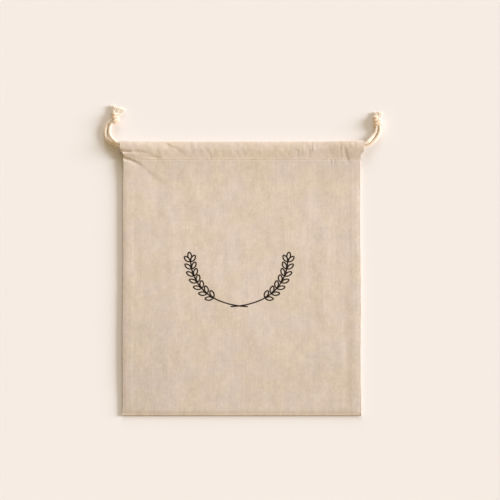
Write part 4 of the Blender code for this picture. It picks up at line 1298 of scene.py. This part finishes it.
class BREAD_BAG_OT_cloth(Operator):
    """Make the bag's cloth: front channel, face, and back with its own channel"""

    bl_idname = "bread_bag.cloth"
    bl_label = "Linen"

    def execute(self, context):
        sizes, colours, shape = settings()
        linen = shared_material(woven_linen, "natural linen plain weave", colours, sizes)
        front, length = self.front_channel(shape)
        face, whole = self.face(shape, length)
        back, total = self.back(shape, whole)
        # The cloth was cut wider than the bag by what is inside its side seams.
        lengths = (length, whole - length, total - whole)
        for piece, long_side in zip((front, face, back), lengths):
            # Store the painted light and shade, over the cloth's random clouds.
            set_tone_and_painted_light(piece, shape)
            thicken(piece, sizes.cloth)
            finish_piece(piece, linen, "linen", "bag")
        return {"FINISHED"}

    def front_channel(self, shape):
        """From the front hem's edge over the mouth's fold to the stitched line."""
        shares = column_shares(shape.half, CHANNEL_COLUMNS)
        hem_rows = np.linspace(shape.channel + HEM_OVERLAP, FRONT_FOLD, FRONT_HEM_ROWS)
        count = int(round((shape.channel - FRONT_FOLD) / CHANNEL_ROW))
        rows = np.linspace(FRONT_FOLD, shape.channel, count)
        hem = layer(shape, shares, hem_rows, shape.front_hem, FRONT_FLARE_DEPTH)
        upper = layer(shape, shares, rows, shape.front, FRONT_FLARE_DEPTH)
        turn = half_turn(shape, shares, hem[-1, :, 2], upper[0, :, 2], FRONT_FOLD, FOLD_ROWS,
                         FRONT_FLARE_DEPTH)
        places = np.concatenate([hem, turn, upper])
        uv, length = cloth_uv(places, 0.0)
        return surface("front_channel", places, uv), length

    def face(self, shape, start):
        """From the stitched line down the face, round the bottom's fold and a little way back."""
        shares = column_shares(shape.half, FACE_COLUMNS)
        rows = shape.channel + spaced(FACE_ROWS, shape.length - BOTTOM_FOLD - shape.channel)
        upper = layer(shape, shares, rows, shape.front, FRONT_FLARE_DEPTH)
        lower_rows = shape.length - np.array((BOTTOM_FOLD, *TURNED_BACK))
        lower = layer(shape, shares, lower_rows, shape.back_wall, FRONT_FLARE_DEPTH)
        turn = half_turn(shape, shares, upper[-1, :, 2], lower[0, :, 2], BOTTOM_FOLD, FOLD_ROWS,
                         FRONT_FLARE_DEPTH, mouth=False)
        places = np.concatenate([upper, turn, lower])
        uv, length = cloth_uv(places, start)
        return surface("face", places, uv), length

    def back(self, shape, start):
        """From just past the bottom's fold up the back, over its mouth's fold to its hem."""
        shares = column_shares(shape.half, BACK_COLUMNS)
        start_row = shape.length - TURNED_BACK[-1]
        rows = np.concatenate([np.linspace(start_row, shape.channel, BACK_FACE_ROWS),
                               np.linspace(shape.channel, BACK_FOLD, BACK_CHANNEL_ROWS)[1:]])
        lower = layer(shape, shares, rows, shape.back_wall, BACK_FLARE_DEPTH)
        hem_rows = np.linspace(BACK_FOLD, shape.channel + HEM_OVERLAP, BACK_HEM_ROWS)
        upper = layer(shape, shares, hem_rows, shape.back_hem, BACK_FLARE_DEPTH)
        turn = half_turn(shape, shares, lower[-1, :, 2], upper[0, :, 2], BACK_FOLD, BACK_FOLD_ROWS,
                         BACK_FLARE_DEPTH)
        places = np.concatenate([lower, turn, upper])
        uv, length = cloth_uv(places, start)
        return surface("back", places, uv), length


# ---- the stitches -------------------------------------------------------------------------
# Real thread is about half as thick, too fine to show, so it is drawn coarser.
THREAD_RADIUS = 0.34 * MM
THREAD_SIDES = 6
STITCH_GAP = 0.5 * MM
STITCH_STATIONS = 7
# How far a stitch's ends are sunk in the cloth, how high it arches from there, and how bluntly.
STITCH_SUNK = 0.3 * MM
STITCH_ARCH = 0.5 * MM
STITCH_BLUNT = 0.6
# The row is shorter than the bag is wide, wavers over a length, and its stitches are scattered.
ROW_SHORTER = 3 * MM
ROW_WAVER = 0.1 * MM
ROW_WAVE = 20 * MM
STITCH_SCATTER = 0.05 * MM
STITCH_SEED = 8


class BREAD_BAG_OT_stitches(Operator):
    """Sew the front channel's hem with a row of stitches"""

    bl_idname = "bread_bag.stitches"
    bl_label = "Stitches"

    def execute(self, context):
        sizes, colours, shape = settings()
        # Spun polyester is twisted as cotton is, and looks as matt and pale.
        thread = shared_material(twisted_cotton, "polyester sewing thread", colours,
                                 "polyester sewing thread", "thread", 0.0)
        stitches = self.row(shape, sizes)
        finish_piece(stitches, thread, "linen")
        return {"FINISHED"}

    def row(self, shape, sizes):
        """Stitches end to end: each rises out of the cloth and dips back, as a blunted cosine."""
        chance = np.random.default_rng(STITCH_SEED)
        pitch = sizes.stitch
        count = int((sizes.width - ROW_SHORTER) / pitch)
        middle = (np.arange(count) - (count - 1) / 2) * pitch
        t = np.linspace(-1.0, 1.0, STITCH_STATIONS)[None, :]
        x = middle[:, None] + t * (pitch - STITCH_GAP) / 2
        below = shape.channel + ROW_WAVER * np.sin(x / ROW_WAVE)
        below = below + chance.normal(0, STITCH_SCATTER, (count, 1))
        cloth_top = shape.front(x, below) + sizes.cloth / 2
        z = cloth_top - STITCH_SUNK + STITCH_ARCH * np.cos(t * math.pi / 2) ** STITCH_BLUNT
        centres = np.stack([x, shape.top - below, z], axis=-1)
        return tubes("channel_stitches", centres, np.full(x.shape, THREAD_RADIUS), THREAD_SIDES)


# ---- the print ----------------------------------------------------------------------------
# The print's middle on the bag, and the width of its lines.
PRINT_CENTRE = (-3.2 * MM, -3.0 * MM)
LINE_WIDTH = 1.8 * MM
# How wide a line's ends are, as a share of it, and how far it goes over and into the cloth.
LINE_END = 0.6
INK_LIFT = 0.07 * MM
INK_DEPTH = 0.2 * MM
# One stalk in millimetres, from where the two cross up to its tip; the other mirrors it.
STEM = ((-11, -37.5), (0, -36.5), (14, -33.5), (30, -27), (44, -16.5), (54, -3), (60, 12),
        (62.5, 27))
STEM_SPACING = 1.0
# Grains, in millimetres and radians: their size and outline, their pairs on the stalk from a share
# of its length to just short of its tip, their angle to it and their gap from it.
GRAIN_LENGTH = 10.8
GRAIN_WIDTH = 4.8
GRAIN_POINTS = 15
GRAIN_ROUNDNESS = 0.8
GRAIN_PAIRS = 7
FIRST_GRAIN = 0.42
TIP_POINTS = 4
GRAIN_ANGLE = 0.62
GRAIN_GAP = 1.2


class BREAD_BAG_OT_print(Operator):
    """Print two wheat ears on the face, bent towards each other like an open wreath"""

    bl_idname = "bread_bag.print"
    bl_label = "Print"

    def execute(self, context):
        sizes, colours, shape = settings()
        ink = shared_material(printed_ink, "screen printed textile ink", colours)
        strokes = []
        for side in (-1.0, 1.0):
            strokes += [stroke * np.array((side, 1.0)) for stroke in self.sprig()]
        printed = join("printed_wheat", [self.ribbon(stroke, shape, sizes) for stroke in strokes])
        finish_piece(printed, ink, "linen")
        return {"FINISHED"}

    def sprig(self):
        """A stem, with grains in pairs along its outer part and one at its tip."""
        flat = np.array([(x, y, 0.0) for x, y in STEM])
        curve = even_stations(smooth_curve(flat), STEM_SPACING)[:, :2]
        strokes = [curve]
        first = int(len(curve) * FIRST_GRAIN)
        places = np.linspace(first, len(curve) - TIP_POINTS, GRAIN_PAIRS).astype(int)
        for place in places:
            ahead = curve[min(place + 2, len(curve) - 1)] - curve[place - 2]
            heading = math.atan2(ahead[1], ahead[0])
            for side in (-1, 1):
                strokes += self.grain(curve[place], heading + side * GRAIN_ANGLE)
        strokes += self.grain(curve[-1], heading)
        return strokes

    def grain(self, root, heading):
        """A pointed oval's two sides: t runs 0 to 1 along it, and it is half the width times
        sin(pi * t)^roundness to each side of its middle.
        """
        t = np.linspace(0.0, 1.0, GRAIN_POINTS)
        out = GRAIN_WIDTH / 2 * np.sin(math.pi * t) ** GRAIN_ROUNDNESS
        forward = np.array((math.cos(heading), math.sin(heading)))
        sideways = np.array((-forward[1], forward[0]))
        start = root + forward * GRAIN_GAP
        return [start + np.outer(GRAIN_LENGTH * t, forward) + np.outer(out * side, sideways)
                for side in (-1, 1)]

    def ribbon(self, stroke, shape, sizes):
        """A flat line of ink: half its width to each side of the stroke, over and into the cloth."""
        points = stroke * MM + np.array(PRINT_CENTRE)
        slopes = np.gradient(points, axis=0)
        slopes /= np.linalg.norm(slopes, axis=1, keepdims=True)
        sideways = np.stack([-slopes[:, 1], slopes[:, 0]], axis=1)
        ends = np.minimum(np.arange(len(points)), np.arange(len(points))[::-1])
        half = LINE_WIDTH / 2 * np.minimum(1.0, LINE_END + (1.0 - LINE_END) * ends)[:, None]
        left, right = points + sideways * half, points - sideways * half
        ring = []
        for place, lift in ((left, -INK_DEPTH), (left, INK_LIFT), (right, INK_LIFT), (right, -INK_DEPTH)):
            z = shape.face_top(place[:, 0], place[:, 1], sizes.cloth) + lift
            ring.append(np.column_stack([place, z]))
        places = np.stack(ring, axis=1)
        count = len(points)
        index = np.arange(count * 4).reshape(count, 4)
        nxt = np.roll(index, -1, axis=1)
        walls = np.stack([index[:-1], nxt[:-1], nxt[1:], index[1:]], axis=-1).reshape(-1, 4)
        caps = np.array((index[0, ::-1], index[-1]))
        return mesh_from("stroke", places.reshape(-1, 3), np.concatenate([walls, caps]),
                         np.zeros((count * 4, 2)))


# ---- the panel ----------------------------------------------------------------------------
OPERATORS = (
    BREAD_BAG_OT_stage,
    BREAD_BAG_OT_knots,
    BREAD_BAG_OT_tails,
    BREAD_BAG_OT_cords,
    BREAD_BAG_OT_cloth,
    BREAD_BAG_OT_stitches,
    BREAD_BAG_OT_print,
)


class BREAD_BAG_PT_panel(Panel):
    """Lists the bag's pieces, sizes and colours."""

    bl_idname = "BREAD_BAG_PT_panel"
    bl_label = "Linen bread bag"
    bl_space_type = "VIEW_3D"
    bl_region_type = "UI"
    bl_category = "Bread bag"

    def draw(self, context):
        for operator in OPERATORS:
            self.layout.operator(operator.bl_idname)
        for group in (context.scene.bread_bag_sizes, context.scene.bread_bag_colours):
            for name in group.__annotations__:
                self.layout.prop(group, name)


CLASSES = (BreadBagSizes, BreadBagColours, *OPERATORS, BREAD_BAG_PT_panel)


def register():
    """Register the classes and hang their settings on the scene."""
    for item in CLASSES:
        bpy.utils.register_class(item)
    bpy.types.Scene.bread_bag_sizes = PointerProperty(type=BreadBagSizes)
    bpy.types.Scene.bread_bag_colours = PointerProperty(type=BreadBagColours)


def unregister():
    """Take the settings and the classes away again."""
    del bpy.types.Scene.bread_bag_colours
    del bpy.types.Scene.bread_bag_sizes
    for item in reversed(CLASSES):
        bpy.utils.unregister_class(item)


def main():
    """Register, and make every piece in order."""
    register()
    bpy.ops.bread_bag.stage()
    bpy.ops.bread_bag.knots()
    bpy.ops.bread_bag.tails()
    bpy.ops.bread_bag.cords()
    bpy.ops.bread_bag.cloth()
    bpy.ops.bread_bag.stitches()
    bpy.ops.bread_bag.print()


if __name__ == "__main__":
    main()
